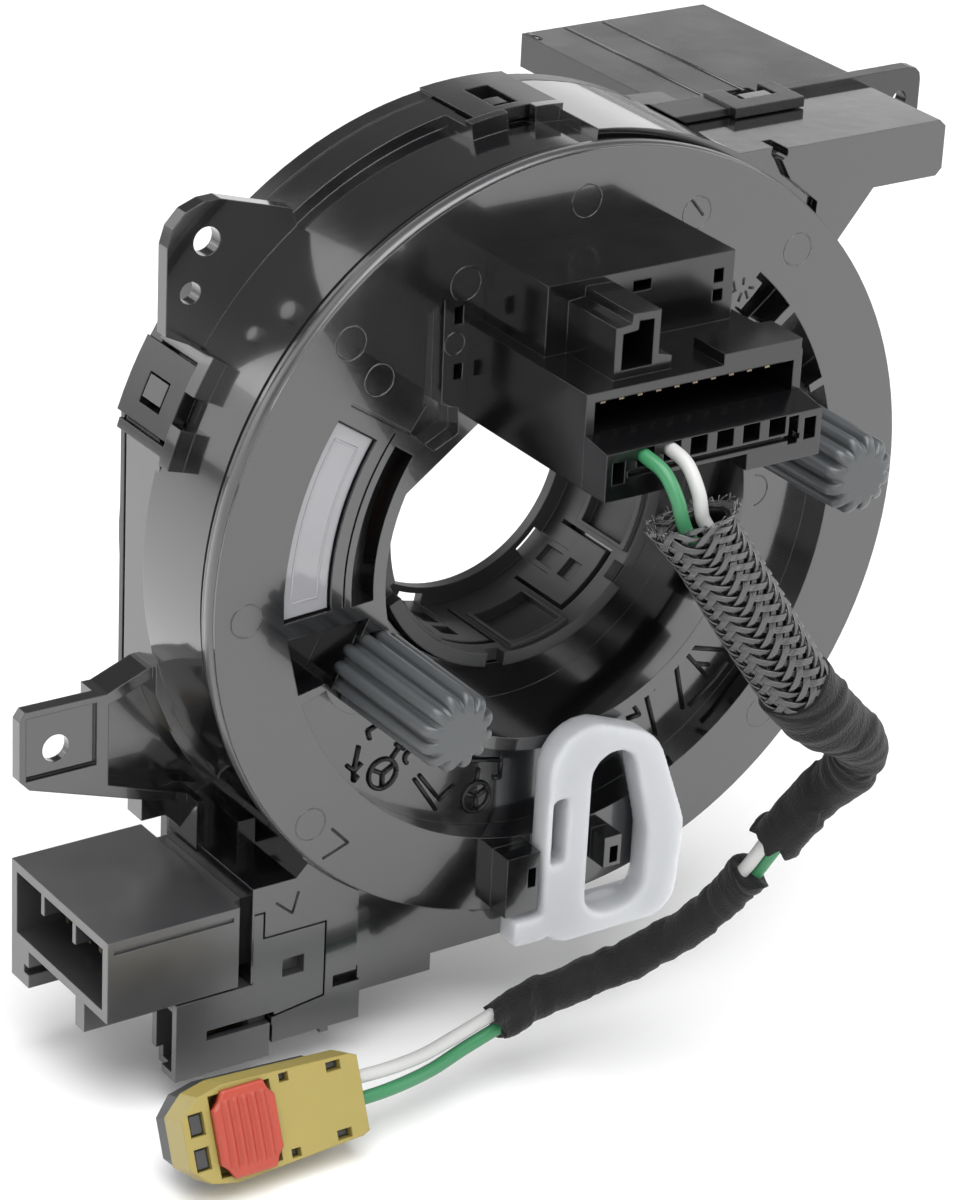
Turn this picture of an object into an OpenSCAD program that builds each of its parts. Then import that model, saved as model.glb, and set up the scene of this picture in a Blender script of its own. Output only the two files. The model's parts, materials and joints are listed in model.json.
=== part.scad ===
// Steering clock spring: the unit behind a steering wheel that carries the airbag and
// switch wiring between the turning wheel and the fixed column. A flat cable is wound
// inside a round housing. The rotor turns with the wheel, the stator is fixed.
//
// Frame: millimetres, the turning axis is Y, +Z up, +X to the right as seen from the wheel.
// The origin is the centre of the column opening on the rear mounting face (y = 0). The
// wheel side looks towards -Y. Depths in the modules are counted from the rotor's front
// face backwards, so depth 0 is y = -total_depth.

/* [Housing] */
// outside radius of the stator's barrel
barrel_r = 49.5; // [46:0.5:60]
// depth of the round body from the rotor's face to the mounting face
total_depth = 28; // [26:0.5:34]
// wall thickness of the round shells
wall = 2; // [1.5:0.1:2.6]
// how far the raised band and the rear cover stand out over the barrel
band_step = 1.5; // [1:0.1:2.5]
// radius of the screw holes in the two left tabs
tab_hole_r = 1.8; // [1.5:0.1:2.4]
// radius of the small hole in the thin plate at the top right
plate_hole_r = 1.1; // [0.8:0.1:1.6]

/* [Rotor] */
// thickness of the rotor's flange
flange_t = 3; // [2.2:0.1:3.2]
// radius of the opening at the rotor's front
hub_r = 26.5; // [24.5:0.5:27.5]
// depth of the ring-shaped recess in the rotor's face
recess_d = 4; // [3.2:0.1:5]
// radius of the hole that the steering shaft passes through
shaft_hole_r = 17.1; // [15.5:0.1:18.5]

/* [Drive pins] */
// radius over the ribs of a drive pin
pin_r = 5; // [4:0.1:5.6]
// length of a drive pin in front of its boss
pin_len = 20.5; // [16:0.5:26]
// number of ribs round a drive pin
pin_ribs = 12; // [8:1:16]

/* [Connector block] */
// width of the connector block's lower body
block_w = 30.6; // [28:0.2:34]
// how far the lower body stands in front of the rotor
block_len = 24; // [20:0.5:30]
// height of the wide slot
slot_h = 3.6; // [3:0.1:3.8]
// number of square cavities in the comb plug
cavities = 6; // [4:1:7]
// spacing of the square cavities
cavity_pitch = 3.75; // [3.4:0.05:3.9]

/* [Sockets] */
// length of the main harness socket
main_len = 18.2; // [15:0.2:26]
// depth of the main harness socket, front to back
main_depth = 24.2; // [20:0.2:24.6]
// wall thickness of the sockets
socket_wall = 1.3; // [1:0.1:1.6]
// length of the flat socket at the rear
rear_len = 32.5; // [25:0.5:40]

/* [Transport lock] */
// thickness of the white transport lock
lock_t = 4; // [3:0.2:5]

/* [Airbag lead] */
// outside diameter of a wire
wire_d = 1.7; // [1.4:0.1:2]
// outside diameter of the braided sleeve
sleeve_d = 8.6; // [7:0.2:10]
// outside diameter of the upper tape wrap
tape_d = 6.2; // [5:0.2:7]
// outside diameter of the lower tape wrap
tape_low_d = 4.8; // [4:0.1:6]
// length of the yellow plug's body
plug_len = 24.5; // [22:0.5:28]
// width of the yellow plug's body
plug_w = 12; // [10.5:0.5:14]

/* [Fits] */
// clearance between pieces that turn or slide past each other
run_gap = 0.4; // [0.3:0.05:0.6]
// clearance between pieces seated in one another
seat_gap = 0.25; // [0.15:0.05:0.35]

/* [Hidden] */

$fn = 96;
eps = 0.05;

// colours of the plastics and wires
black_pom = [0.14, 0.14, 0.15];
dark_grey = [0.22, 0.22, 0.23];
pin_grey = [0.42, 0.46, 0.48];
clear_grey = [0.72, 0.73, 0.76];
tin = [0.75, 0.73, 0.68];
milk = [0.92, 0.93, 0.94];
braid_grey = [0.30, 0.30, 0.31];
tape_black = [0.08, 0.08, 0.08];
green = [0.25, 0.62, 0.40];
white = [0.90, 0.90, 0.90];
yellow = [0.80, 0.73, 0.42];
orange = [0.87, 0.37, 0.28];
copper_film = [0.55, 0.36, 0.20];

// housing: radii and depths that follow from the driving sizes
band_r = barrel_r + band_step;
inner_r = barrel_r - wall;
flange_r = barrel_r + 0.5;
grow = barrel_r - 49.5;
barrel_front = flange_t + run_gap;
band_front = total_depth - 10.3;
band_back = total_depth - 4.9;
plate_front = total_depth - 2.9;
flat_x = barrel_r - 1.5;
flat_back = plate_front - 0.5;
cover_edge = total_depth - 2;
pad_r = band_r + 0.7;
arm_back = 19.3;
arm_box_back = 22;
// angles that the tongues of the rear cover span, at the top and at the left
top_catch = [85, 98.3];
left_catch = [150, 160.8];

// rotor: the hub, the recess and the rear tube that the snap ring holds
hub_wall = 1.7;
hub_out = hub_r + hub_wall;
hub_len = 12;
web_t = 2;
recess_r = flange_r - 9.9;
recess_wall = 1.5;
rear_tube_r = 21.6;
rear_tube_out = 23.2;
tube_end = total_depth - 1.8;
ring_r = rear_tube_r - run_gap;
ring_flange_r = 25.5;
ring_front = 10;
ring_back = total_depth - 0.3;
flat_at = 23.05;
filler_t = 4;
notch_d = 2.2;
line_d = 0.4;
recess_a0 = 200;
recess_a1 = 409;
deep_floor = 7;

// snap ring: six tongues with a pocket between each two
tongues = 6;
tongue_a0 = -47.2;

// window in the flange
win_a0 = 148;
win_a1 = 182;
win_r0 = recess_r - 5.2;
win_r1 = recess_r - 0.1;
win_seat = 0.6;

// drive pins: positions of their axes on the rotor's face (x, z)
pin_base = 1;
pin_left_at = [-27.7, -11.4];
pin_right_at = [29.3, 9.8];

// connector block
block_x0 = -16.2;
block_x1 = block_x0 + block_w;
block_z0 = 19.5;
block_z1 = 31.1;
upper_x0 = -14.2;
upper_x1 = block_x1 - 2;
upper_z1 = 39.8;
upper_len = 12.5;
block_wall = 1.2;
slot_z1 = block_z1 - block_wall;
slot_z0 = slot_z1 - slot_h;
comb_z1 = 25.9;
comb_len = 4.5;
comb_front = -block_len - comb_len;
cavity_w = 2.4;
cavity_z = 24.2;
cavity_d = 3;
cavity_x0 = -10.8;

// transport lock
lock_back = -0.3;
lock_front = lock_back - lock_t;
lock_stem = [-2.4, 2, -47.5, -43.5];

// main harness socket at the lower left, and the small one below it
socket_end_x = -44.3 - grow * 0.7;
mouth_x = socket_end_x - main_len;
main_front = 2;
main_back = main_front + main_depth;
carrier_x = -42.5;

// flat socket at the rear
rear_front = 22;
rear_x0 = 27.2;
rear_x1 = 56.5;
rear_z0 = 39.9;
rear_z1 = 44.4;

// flat cable wound in the chamber
cable_t = 0.35;
cable_turns = 9;
cable_r0 = hub_out + 2.3;
cable_r1 = inner_r - 3.2;
cable_front = 9.2;
cable_back = plate_front - 0.5;

// airbag plug: where its rear end is, and how it lies
plug_rear = [-38.2, -15, -58.8];
plug_tilt = 0;
plug_roll = 67.7;
plug_top = 2.6;
plug_low = -1.8;
base_h = 3.2;
lock_x0 = 12.2;
lock_x1 = 20.6;
lock_w = 10;

// route of the airbag lead, from the comb plug to the airbag plug: x, depth, z
lead_route = [[-8.9, -25.5, 24.2], [-8.9, -28.6, 24.2], [-8.7, -31.6, 23.4],
    [-8.6, -34, 21], [-8.3, -35.2, 17.9], [-6, -36, 14.1], [-3.2, -36.8, 9.6],
    [-0.2, -37.5, 4.8], [3.2, -38, -0.4], [6.9, -38.2, -5.4], [11, -38.2, -9.8],
    [15.4, -37.8, -13], [18.4, -36.2, -17], [18.2, -33.4, -21.6], [16, -30.6, -26.2],
    [13.4, -28.2, -31.4], [11.8, -25.8, -36.6], [10.6, -24, -39.8], [8.8, -21.8, -43.6],
    [5.6, -19.4, -47.4], [1.6, -16.8, -50.6], [-3.4, -14.4, -53.2],
    [-9, -12.6, -55.4], [-14.9, -12, -57.2], [-20.6, -12.4, -58.5],
    [-26.6, -13.6, -59.2], [-32.8, -15, -58.8], [-38.2, -15, -58.8]];
lead_stations = len(lead_route);
// the wires lie side by side, this far from the route; they start wide apart in the
// comb plug, and turn half round each other on the way
wire_off = wire_d / 2 + 0.12;
comb_off = cavity_pitch / 2;
plug_off = 1.4;

// extrudes a flat shape drawn in x and z between two depths
module slab(d0, d1) {
    translate([0, d1 - total_depth, 0]) rotate([90, 0, 0])
        linear_extrude(height = d1 - d0) children();
}

// box between two x, two depths and two z
module block(x0, x1, d0, d1, z0, z1) {
    translate([x0, d0 - total_depth, z0]) cube([x1 - x0, d1 - d0, z1 - z0]);
}

// round bar along the depth
module bar(x, z, r, d0, d1, n = 96) {
    translate([x, d1 - total_depth, z]) rotate([90, 0, 0])
        cylinder(r = r, h = d1 - d0, $fn = n);
}

// flat ring
module ring(r0, r1) {
    difference() {
        circle(r = r1);
        circle(r = r0);
    }
}

// flat wedge from the axis, angles counted from +X towards +Z
module wedge(a0, a1, r) {
    steps = 10;
    polygon(concat([[0, 0]], [for (i = [0:steps])
        let (a = a0 + (a1 - a0) * i / steps) [2 * r * cos(a), 2 * r * sin(a)]]));
}

// flat piece of a ring
module sector(r0, r1, a0, a1) {
    intersection() {
        ring(r0, r1);
        wedge(a0, a1, r1);
    }
}

// moves what hangs on the outside of the barrel when the barrel's radius changes
module follow(a) {
    translate([grow * cos(a), 0, grow * sin(a)]) children();
}

// thin line in the front face between two points, sunk by line_d
module line(a, b, w = 0.35) {
    n = w / 2 * [a[1] - b[1], b[0] - a[0]] / norm(b - a);
    slab(-1, line_d) polygon([a + n, b + n, b - n, a - n]);
}

// direction of a vector
function unit(v) = v / norm(v);

// centre of the lead at a station, in the part's frame
function lead_at(i) = [lead_route[i][0], lead_route[i][1] - total_depth, lead_route[i][2]];

// direction of the lead at a station; at its end it runs straight into the plug
function lead_dir(i) = i == lead_stations - 1 ? [-cos(plug_tilt), 0, -sin(plug_tilt)]
    : unit(lead_at(i + 1) - lead_at(max(i - 1, 0)));

// sideways vector from which the roll of the pair of wires is counted
function lead_ref(i) = let (t = min(i / 3, 1)) unit([0, -t, 1 - t + 0.35 * t]);
function lead_side(i) = unit(cross(lead_dir(i), lead_ref(i)));
function lead_roll(i) = 180 * max(0, min(1, (i - 4) / 9));
function lead_turned(i, a) = let (s = lead_side(i), u = cross(lead_dir(i), s))
    cos(a) * s + sin(a) * u;

// distance of a wire from the route: wide in the comb plug and at the airbag plug
function wire_gap(i) = i < 2 ? comb_off
    : i < 6 ? comb_off + (wire_off - comb_off) * (i - 1) / 5
    : i > lead_stations - 4 ? wire_off + (plug_off - wire_off) * (i - lead_stations + 4) / 3
    : wire_off;

// eight-sided tube along some stations, moved sideways by off times the wire gap
module tube(first, last, r, off) {
    n = 8;
    rows = last - first + 1;
    pts = [for (i = [first:last]) let (
        c = lead_at(i) + off * wire_gap(i) * lead_turned(i, lead_roll(i)),
        a = lead_side(i),
        b = cross(lead_dir(i), a))
        for (k = [0:n - 1]) c + r * (cos(360 * k / n) * a + sin(360 * k / n) * b)];
    lower = [for (i = [0:rows - 2], k = [0:n - 1])
        [i * n + k, (i + 1) * n + k, (i + 1) * n + (k + 1) % n]];
    upper = [for (i = [0:rows - 2], k = [0:n - 1])
        [i * n + k, (i + 1) * n + (k + 1) % n, i * n + (k + 1) % n]];
    start = [for (k = [1:n - 2]) [0, k, k + 1]];
    end = [for (k = [1:n - 2]) [(rows - 1) * n, (rows - 1) * n + k + 1, (rows - 1) * n + k]];
    polyhedron(points = pts, faces = concat(lower, upper, start, end), convexity = 6);
}

// STATOR

// outline of the lug with two holes at the upper left
module upper_tab_shape() {
    polygon([[-43.4, 27], [-47, 28.8], [-47, 39.8], [-46.3, 42], [-44.6, 43.8],
        [-42.2, 44.7], [-40, 44.8], [-30.2, 42], [-29, 38], [-40, 26]]);
}

// outline of the arm with one hole at the left
module left_tab_shape() {
    polygon([[-66.1, -17], [-65.3, -15.9], [-54.1, -16], [-48.7, -13.9], [-45.1, -13.5],
        [-42, -22], [-36.5, -32], [-40.4, -34.1], [-49.3, -31.6], [-64.8, -26.4],
        [-66.1, -25]]);
}

// hollow of that arm, beside the barrel
module left_tab_hollow() {
    polygon([[-54, -17.5], [-48.4, -15.4], [-44, -15], [-38, -31], [-42, -32.6],
        [-49, -30.2], [-54, -28.4]]);
}

// outline of the block at the upper right
module right_block_shape() {
    polygon([[20, 46.1], [24, 44], [56.2, 44], [57.2, 43.1], [57.2, 37.5], [56.3, 36.6],
        [46.4, 36.6], [41.3, 30.4], [38, 28]]);
}

// outline of the carrier below the barrel, which holds both sockets
module carrier_shape() {
    polygon([[carrier_x, -38.4], [-36.4, -38.4], [-33, -35], [-3.7, -47], [-3.7, -55.2],
        [-15.6, -55.2], [-15.6, -57.6], [-26.6, -57.6], [-26.6, -60.9], [-39.2, -60.9],
        [-39.2, -58.3], [carrier_x, -58.3]]);
}

// front face of the small socket with its L-shaped arm; g widens the outline to the
// pocket that holds it
module arm_shape(g) {
    polygon([[-60, -51.8 + g], [carrier_x + 0.3, -51.8 + g], [carrier_x + 0.3, -42.2 + g],
        [-40.9 + g, -42.2 + g], [-40.9 + g, -45.8 + g], [-32 + g, -45.8 + g],
        [-32 + g, -56 - g], [-39.6 + g, -57 - g], [-39.6 + g, -63], [-60, -63]]);
}

module stator_shell() color(black_pom) {
    difference() {
        union() {
            slab(barrel_front, band_front) ring(inner_r, barrel_r);
            slab(band_front, band_back) intersection() {
                ring(inner_r, band_r);
                translate([-flat_x + 1.2, -60]) square([130, 120]);
            }
            // flat wall at the left
            slab(band_front - 1, flat_back) intersection() {
                difference() {
                    circle(r = band_r);
                    translate([-flat_x + 2.4, -60]) square([130, 120]);
                }
                translate([-flat_x, -60]) square([10, 120]);
            }
            // raised part of the barrel that runs into the block at the upper right
            slab(barrel_front + 0.6, band_front + eps) sector(inner_r + 1, band_r, 58, 86);
            // pads on both sides of the left catch
            slab(12, 14.2) sector(barrel_r - 1, pad_r, 147.8, 153.5);
            slab(12, 14.2) sector(barrel_r - 1, pad_r, 158.1, 163.8);
            slab(14.2 - eps, band_back) sector(barrel_r - 1, pad_r, 147.8, left_catch[0] - 0.6);
            slab(14.2 - eps, flat_back) sector(barrel_r - 1, pad_r, left_catch[1] + 0.6, 162.8);
            // the same in front of the top catch, and a rim at its left
            slab(12, 13.3) sector(barrel_r - 1, pad_r, 94.4, 100.2);
            slab(12, 13.3) sector(barrel_r - 1, pad_r, 85.6, 90);
            slab(13.3 - eps, band_front + eps) sector(barrel_r - 1, band_r,
                top_catch[1] + 0.6, 100.2);
            follow(140) slab(17.5, 19.5) difference() {
                upper_tab_shape();
                circle(r = barrel_r - wall / 2 - grow);
            }
            follow(205) difference() {
                union() {
                    slab(17.5, arm_back) left_tab_shape();
                    slab(17.5, arm_box_back) intersection() {
                        left_tab_shape();
                        translate([-55.4, -40]) square([30, 30]);
                    }
                }
                slab(17, arm_box_back - 1) left_tab_hollow();
                slab(17, 18.1) translate([-65.2, -25.2]) square([9.6, 8.4]);
            }
            follow(43) difference() {
                slab(4, 20) right_block_shape();
                block(45.6, 55.6, 6, 21, 38.2, 42.4);
                // left part of its front face, further back, with a round groove beside it
                slab(3, 5) polygon([[18, 48], [31.5, 48], [31.5, 42.6], [33.1, 39.8],
                    [37.6, 36.2], [37, 27], [18, 27]]);
                bar(31.5, 43.4, 0.9, 3, 7.5, 24);
            }
            // gusset below that block, further back
            follow(43) slab(9, 18) polygon([[50, 36.8], [43.8, 29.6], [37, 29], [38, 37]]);
            follow(235) difference() {
                slab(2, band_back) carrier_shape();
                slab(4.2 + seat_gap + 1.2, band_back + 1) polygon([[-40.6, -40.4],
                    [-37.4, -40.4], [-29, -46.6], [-29, -58.6], [-37.4, -58.6],
                    [-37.4, -56.5], [-40.6, -56.5]]);
                slab(4.2, band_back + 1) polygon([[-25, -48.4], [-17.4, -51.6],
                    [-17.4, -56], [-25, -56]]);
                // the right part of its face lies a step further back
                slab(1, 2.8) polygon([[-27.2, -34], [0, -34], [0, -58], [-26.6, -58],
                    [-26.6, -55.4], [-27.2, -55.4]]);
                block(-30.6, -26.5, 1, 4, -55.4, -53.8);
            }
            // peg below the carrier
            follow(235) block(-32, -30.8, 2.4, 4.4, -61.8, -60.9 + eps);
            // web, wall and post between the left arm and the carrier
            follow(220) slab(19, 22.5) polygon([[-48.4, -32], [-44, -31], [-37.5, -33],
                [-36, -36], [-38, -39.4], [-41.4, -39.4], [-45, -35.5], [-48.4, -35.5]]);
            follow(220) block(-42.9, -41.9, 15, 22, -39.4, -32.4);
            follow(220) block(-38.8, -36.3, 12, 22, -39.4, -34.8);
        }
        // chamber for the flat cable, and room for the rotor's flange
        slab(1, barrel_front) circle(r = flange_r + run_gap + 0.2);
        slab(1, plate_front) circle(r = inner_r - 3);
        slab(barrel_front - eps, band_front) circle(r = inner_r);
        // recesses in the band for the two tongues of the rear cover
        slab(13.5, plate_front) sector(barrel_r - 0.1, band_r + 3, top_catch[0] - 0.4,
            top_catch[1] + 0.4);
        slab(14.3, plate_front) sector(barrel_r - 0.1, band_r + 3, left_catch[0] - 0.4,
            left_catch[1] + 0.4);
        // notches between the pads in front of both catches
        slab(12, 13.9) sector(inner_r + 0.7, barrel_r + 1, 90.4, 94);
        slab(12, 14.7) sector(inner_r + 0.7, barrel_r + 1, 153.9, 157.7);
        // screw holes, and the small hole below the upper one
        follow(140) bar(-41.7, 39.8, tab_hole_r, 10, 25);
        follow(140) bar(-43.8, 33.7, 1.4, 10, 25, 48);
        follow(205) bar(-60.9, -21.9, tab_hole_r, 10, 25);
        // pocket that takes the small socket and its arm
        follow(235) slab(1, 4.2 + seat_gap) arm_shape(seat_gap);
        follow(235) block(-60, -39.8, 1, 8.05, -63, -51.8);
    }
    // lugs that the tongues of the rear cover hook over
    slab(16.6, 18.8) sector(barrel_r - 1, band_r, 91, 93.4);
    slab(17.9, 22) sector(barrel_r - 1, band_r + 0.4, 154.1, 157.3);
    follow(43) block(36.4, 40.6, 18.3, 20, 43, 45.3);
}

module rear_cover() color(black_pom) {
    difference() {
        union() {
            slab(plate_front, cover_edge) intersection() {
                circle(r = band_r);
                translate([-flat_x, -60]) square([130, 120]);
            }
            slab(plate_front, total_depth) circle(r = band_r - 4);
            slab(band_back + seat_gap, plate_front + eps) intersection() {
                ring(inner_r, band_r);
                translate([-flat_x + 3.4, -60]) square([130, 120]);
            }
            // catches at the top and at the left: tongues that reach forward
            slab(13.8, cover_edge) sector(barrel_r + seat_gap, band_r + 0.4, top_catch[0],
                top_catch[1]);
            slab(14.5, cover_edge) sector(barrel_r + seat_gap, band_r + 0.4, left_catch[0],
                left_catch[1]);
            // thin plate behind the block at the upper right
            follow(43) slab(20, 22) polygon([[24, 44.9], [64.2, 44.9], [65.1, 44.7],
                [65.8, 44], [66, 43.1], [66, 38.6], [65.8, 37.7], [65.1, 37], [64.2, 36.8],
                [46.8, 36.8], [42, 31], [36, 36]]);
            follow(43) block(32.6, 43.3, 15.2, 22, 44.2, 45.5);
            follow(43) block(22.5, 32.8, 16.5, 22, 44.2, 45.2);
            // wedge that joins that plate to the rear plate
            follow(43) slab(20, total_depth - 0.6) polygon([[20, 45], [30, 44.4],
                [56.5, 44.4], [56.5, 38.9], [46, 36.8], [41, 31], [36, 33]]);
            // flat socket at the rear
            follow(43) block(rear_x0, rear_x1, rear_front, rear_front + rear_len,
                rear_z0, rear_z1);
            // lid behind the carrier
            follow(235) slab(band_back + seat_gap, band_back + 2.2) polygon([[-42, -38.8],
                [-36.4, -38.8], [-33, -35], [-4.2, -47], [-4.2, -54.8], [-16, -54.8],
                [-16, -57.2], [-27, -57.2], [-27, -60.5], [-38.8, -60.5], [-38.8, -58],
                [-42, -58]]);
        }
        // column opening and the seat of the snap ring
        slab(20, total_depth + 1) circle(r = rear_tube_out + run_gap);
        slab(tube_end - 0.3, total_depth + 1) circle(r = ring_flange_r + run_gap);
        // chamber, and the stator's band, which the cover's edge stands behind
        slab(10, plate_front) circle(r = inner_r);
        slab(10, band_back + seat_gap) difference() {
            ring(inner_r - 1, band_r + seat_gap);
            wedge(top_catch[0] - 0.5, top_catch[1] + 0.5, band_r);
            wedge(left_catch[0] - 0.5, left_catch[1] + 0.5, band_r);
        }
        // slots of the three catches
        slab(15.2, 21.9) sector(barrel_r - 1, band_r + 3, 90.4, 94.2);
        slab(17.6, 22.3) sector(barrel_r - 1, band_r + 3, 153.8, 158.2);
        follow(43) block(35.4, 41, 17.9, 23.8, 44, 47);
        // small hole in the thin plate
        follow(43) bar(62.8, 40.8, plate_hole_r, 18, 24);
        // inside of the flat socket
        follow(43) block(rear_x0 + socket_wall, rear_x1 - socket_wall, rear_front + 8,
            rear_front + rear_len + 1, rear_z0 + socket_wall - 0.4,
            rear_z1 - socket_wall + 0.4);
    }
}

// main socket at the lower left, open to the left
module harness_socket() color(black_pom) {
    z1 = -40.4;
    z0 = -51.5;
    follow(235) difference() {
        union() {
            block(mouth_x, socket_end_x, main_front, main_back, z0, z1);
            // neck that meets the carrier
            block(socket_end_x - eps, carrier_x, main_front + 3, main_back - 3, z0 + 1,
                z1 - 0.6);
            // rails below, front and rear
            block(mouth_x + 0.3, socket_end_x, 8.2, 10.4, -55.9, z0 + eps);
            block(mouth_x, socket_end_x - 4, main_back - 4.4, main_back, -56.7, z0 + eps);
        }
        block(mouth_x - 1, socket_end_x - 2, main_front + socket_wall,
            main_back - socket_wall, z0 + socket_wall, z1 - socket_wall);
        // groove along the front wall under the top edge
        block(mouth_x + 0.8, socket_end_x - 0.8, main_front - 1, main_front + 0.35, -42.2,
            -41.6);
        // groove along the front of the rear rail
        block(mouth_x - 1, socket_end_x, main_back - 5, main_back - 3.2, -54.9, -53.8);
    }
    // short ribs that hang from the top
    follow(235) for (d = [10.1, 18])
        block(mouth_x + 0.1, socket_end_x - 2 + eps, d, d + 0.8, z1 - 4.2, z1 - socket_wall + eps);
}

module harness_terminals() color(tin) {
    follow(235) for (r = [0, 1], i = [0:6])
        block(mouth_x + 5.5, socket_end_x - 2, 4.9 + i * 2.8, 5.6 + i * 2.8,
            -49 + r * 3.1, -48.3 + r * 3.1);
}

// small socket below, with the arm that clips into the carrier's face
module small_socket() color(black_pom) {
    follow(235) difference() {
        union() {
            slab(2, 4.2) intersection() {
                arm_shape(0);
                translate([-52.9, -62.6]) square([30, 22]);
            }
            block(-52.9, -40.1, 2, 7.8, -62.6, -52.1);
        }
        block(-54, -42, 3, 6.8, -61.6, -53.1);
        // slot in the front and the window in the arm
        block(-48.6, -39, 1, 3.2, -57.9, -56.5);
        block(-38, -34.9, 1, 3.6, -51.9, -49.4);
        // step at the mouth
        block(-54, -51.9, 5.4, 9, -63, -60);
    }
}

module small_terminals() color(tin) {
    follow(235) for (z = [-59.4, -55.8])
        block(-50, -42, 4.6, 5.3, z, z + 0.7);
}

module rear_terminals() color(tin) {
    follow(43) for (i = [0:7])
        block(rear_x0 + 3.2 + i * 3, rear_x0 + 3.9 + i * 3, rear_front + 8,
            rear_front + rear_len - 8, (rear_z0 + rear_z1) / 2 - 0.35,
            (rear_z0 + rear_z1) / 2 + 0.35);
}

// flat cable wound in the chamber: a spiral drawn as one long thin polygon
module ribbon_cable() {
    steps = 30;
    last = steps * cable_turns;
    function spiral(i, off) = let (
        a = 150 + 360 * i / steps,
        r = cable_r0 + (cable_r1 - cable_r0) * i / last + off) [r * cos(a), r * sin(a)];
    color(copper_film) slab(cable_front, cable_back) polygon(concat(
        [for (i = [0:last]) spiral(i, 0)],
        [for (i = [last:-1:0]) spiral(i, cable_t)]));
}

// ROTOR

module rotor_disc() color(black_pom) {
    difference() {
        union() {
            slab(0, flange_t) circle(r = flange_r);
            slab(0, recess_d + 1.5) circle(r = recess_r + recess_wall);
            // hub, the web behind it and the rear tube
            slab(0, hub_len + web_t) circle(r = hub_out);
            slab(hub_len, tube_end) circle(r = rear_tube_out);
            // deeper floor at the right and the box round the pocket at the left
            slab(recess_d, deep_floor + 1.5) sector(hub_r + 1, recess_r + recess_wall, 16, 52);
            slab(recess_d, deep_floor + 1.2) sector(hub_r + 1, recess_r + recess_wall, 180, 206);
            // bosses of the drive pins
            for (p = [pin_left_at, pin_right_at])
                bar(p[0], p[1], pin_r + 1.2, pin_base, recess_d + 1.5);
            // ears beside the transport lock
            follow(270) block(-8.8, -3.9, -3.4, 1, -49, -40.7);
            follow(270) block(6.3, 8.9, -3, 1, -46, -41.7);
        }
        // front opening, stepped towards the rear tube, with a flat at the upper left
        slab(-10, hub_len) difference() {
            circle(r = hub_r);
            rotate([0, 0, 126]) translate([flat_at, -30]) square([20, 60]);
        }
        slab(filler_t, hub_len) circle(r = hub_r);
        slab(-10, total_depth + 1) circle(r = rear_tube_r);
        // ring-shaped recess
        difference() {
            slab(-1, recess_d) sector(hub_out, recess_r, recess_a0, recess_a1);
            for (p = [pin_left_at, pin_right_at])
                bar(p[0], p[1], pin_r + 1.2, pin_base, recess_d + 1);
            // small island beside the block
            slab(0, recess_d + 1) polygon([[19, 34.5], [22, 32.9], [26.9, 28.6],
                [23.8, 25.8], [21.7, 27.1], [17, 28]]);
            // ribs across the recess at the right
            slab(0, recess_d + 1) intersection() {
                sector(recess_r - 3.4, recess_r + 1, 36.6, 38.4);
                circle(r = recess_r + 1);
            }
            slab(0, recess_d + 1) sector(recess_r - 2.1, recess_r + 1, 19.2, 20.8);
        }
        slab(-1, deep_floor) sector(recess_r - 6.6, recess_r, 21, 36.4);
        slab(-1, deep_floor) sector(recess_r - 4.5, recess_r, 38.6, 47);
        // space under the flange, outside the recess
        slab(flange_t, recess_d) sector(hub_out, recess_r, recess_a1 - 360 + 3, recess_a0 - 20);
        slab(flange_t, recess_d + 2) difference() {
            sector(hub_out + 1, recess_r + recess_wall + 1, 54, 178);
            circle(r = hub_out);
        }
        // pocket at the left and notch beside the block
        slab(-1, deep_floor) polygon([[-40, -4.6], [-38.2, -12.3], [-34.5, -11.6],
            [-32.9, -13], [-28.6, -4.2]]);
        slab(-1, notch_d) polygon([[-21.4, 22.4], [-18.7, 21.1], [-17.3, 20.7],
            [-17.1, 17.4], [-20.4, 15.8], [-23.9, 18.7]]);
        slab(-1, notch_d) polygon([[-22.2, 22], [-19.7, 21], [-19.9, 34.7], [-22.2, 33.4]]);
        // thin lines beside that notch and round the slot
        line([-32.2, 24], [-23.8, 18.6]);
        slab(-1, line_d) sector(32.2, 32.5, 143.6, 183.5);
        // arc-shaped slot round the hub
        slab(-1, flange_t + 1) sector(hub_out, hub_out + 3.1, 146, 184);
        // window and the seat of its plate
        slab(-1, flange_t + 1) sector(win_r0, win_r1, win_a0, win_a1);
        slab(-1, win_seat + 1.5) sector(win_r0 - 0.8, win_r1 + 0.6, win_a0 - 1.4, win_a1 + 1.4);
        // seats of the drive pins
        for (p = [pin_left_at, pin_right_at]) bar(p[0], p[1], pin_r + seat_gap, -2, pin_base);
        // square holes in the ears
        follow(270) block(-5.6, -4.4, -4, 0.5, -45.5, -42.8);
        follow(270) block(7.2, 8.4, -4, 0.5, -45.5, -43.2);
        // guide of the lock's stem
        follow(270) block(lock_stem[0] - run_gap, lock_stem[1] + run_gap, -1, flange_t + 1,
            lock_stem[2] - run_gap, lock_stem[3] + run_gap);
        // two small windows left of the block
        block(-18.4, -17.2, -1, flange_t + 1, 31.4, 33.6);
        block(-18.2, -17, -1, flange_t + 1, 24.4, 26.4);
        // windows in the rear tube for the snap ring's pads
        slab(15.6, 18.6) for (k = [1:tongues]) let (a = tongue_a0 + 360 * k / tongues)
            sector(rear_tube_r - 1, rear_tube_out + 1, a - 6, a + 6);
    }
}

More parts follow.
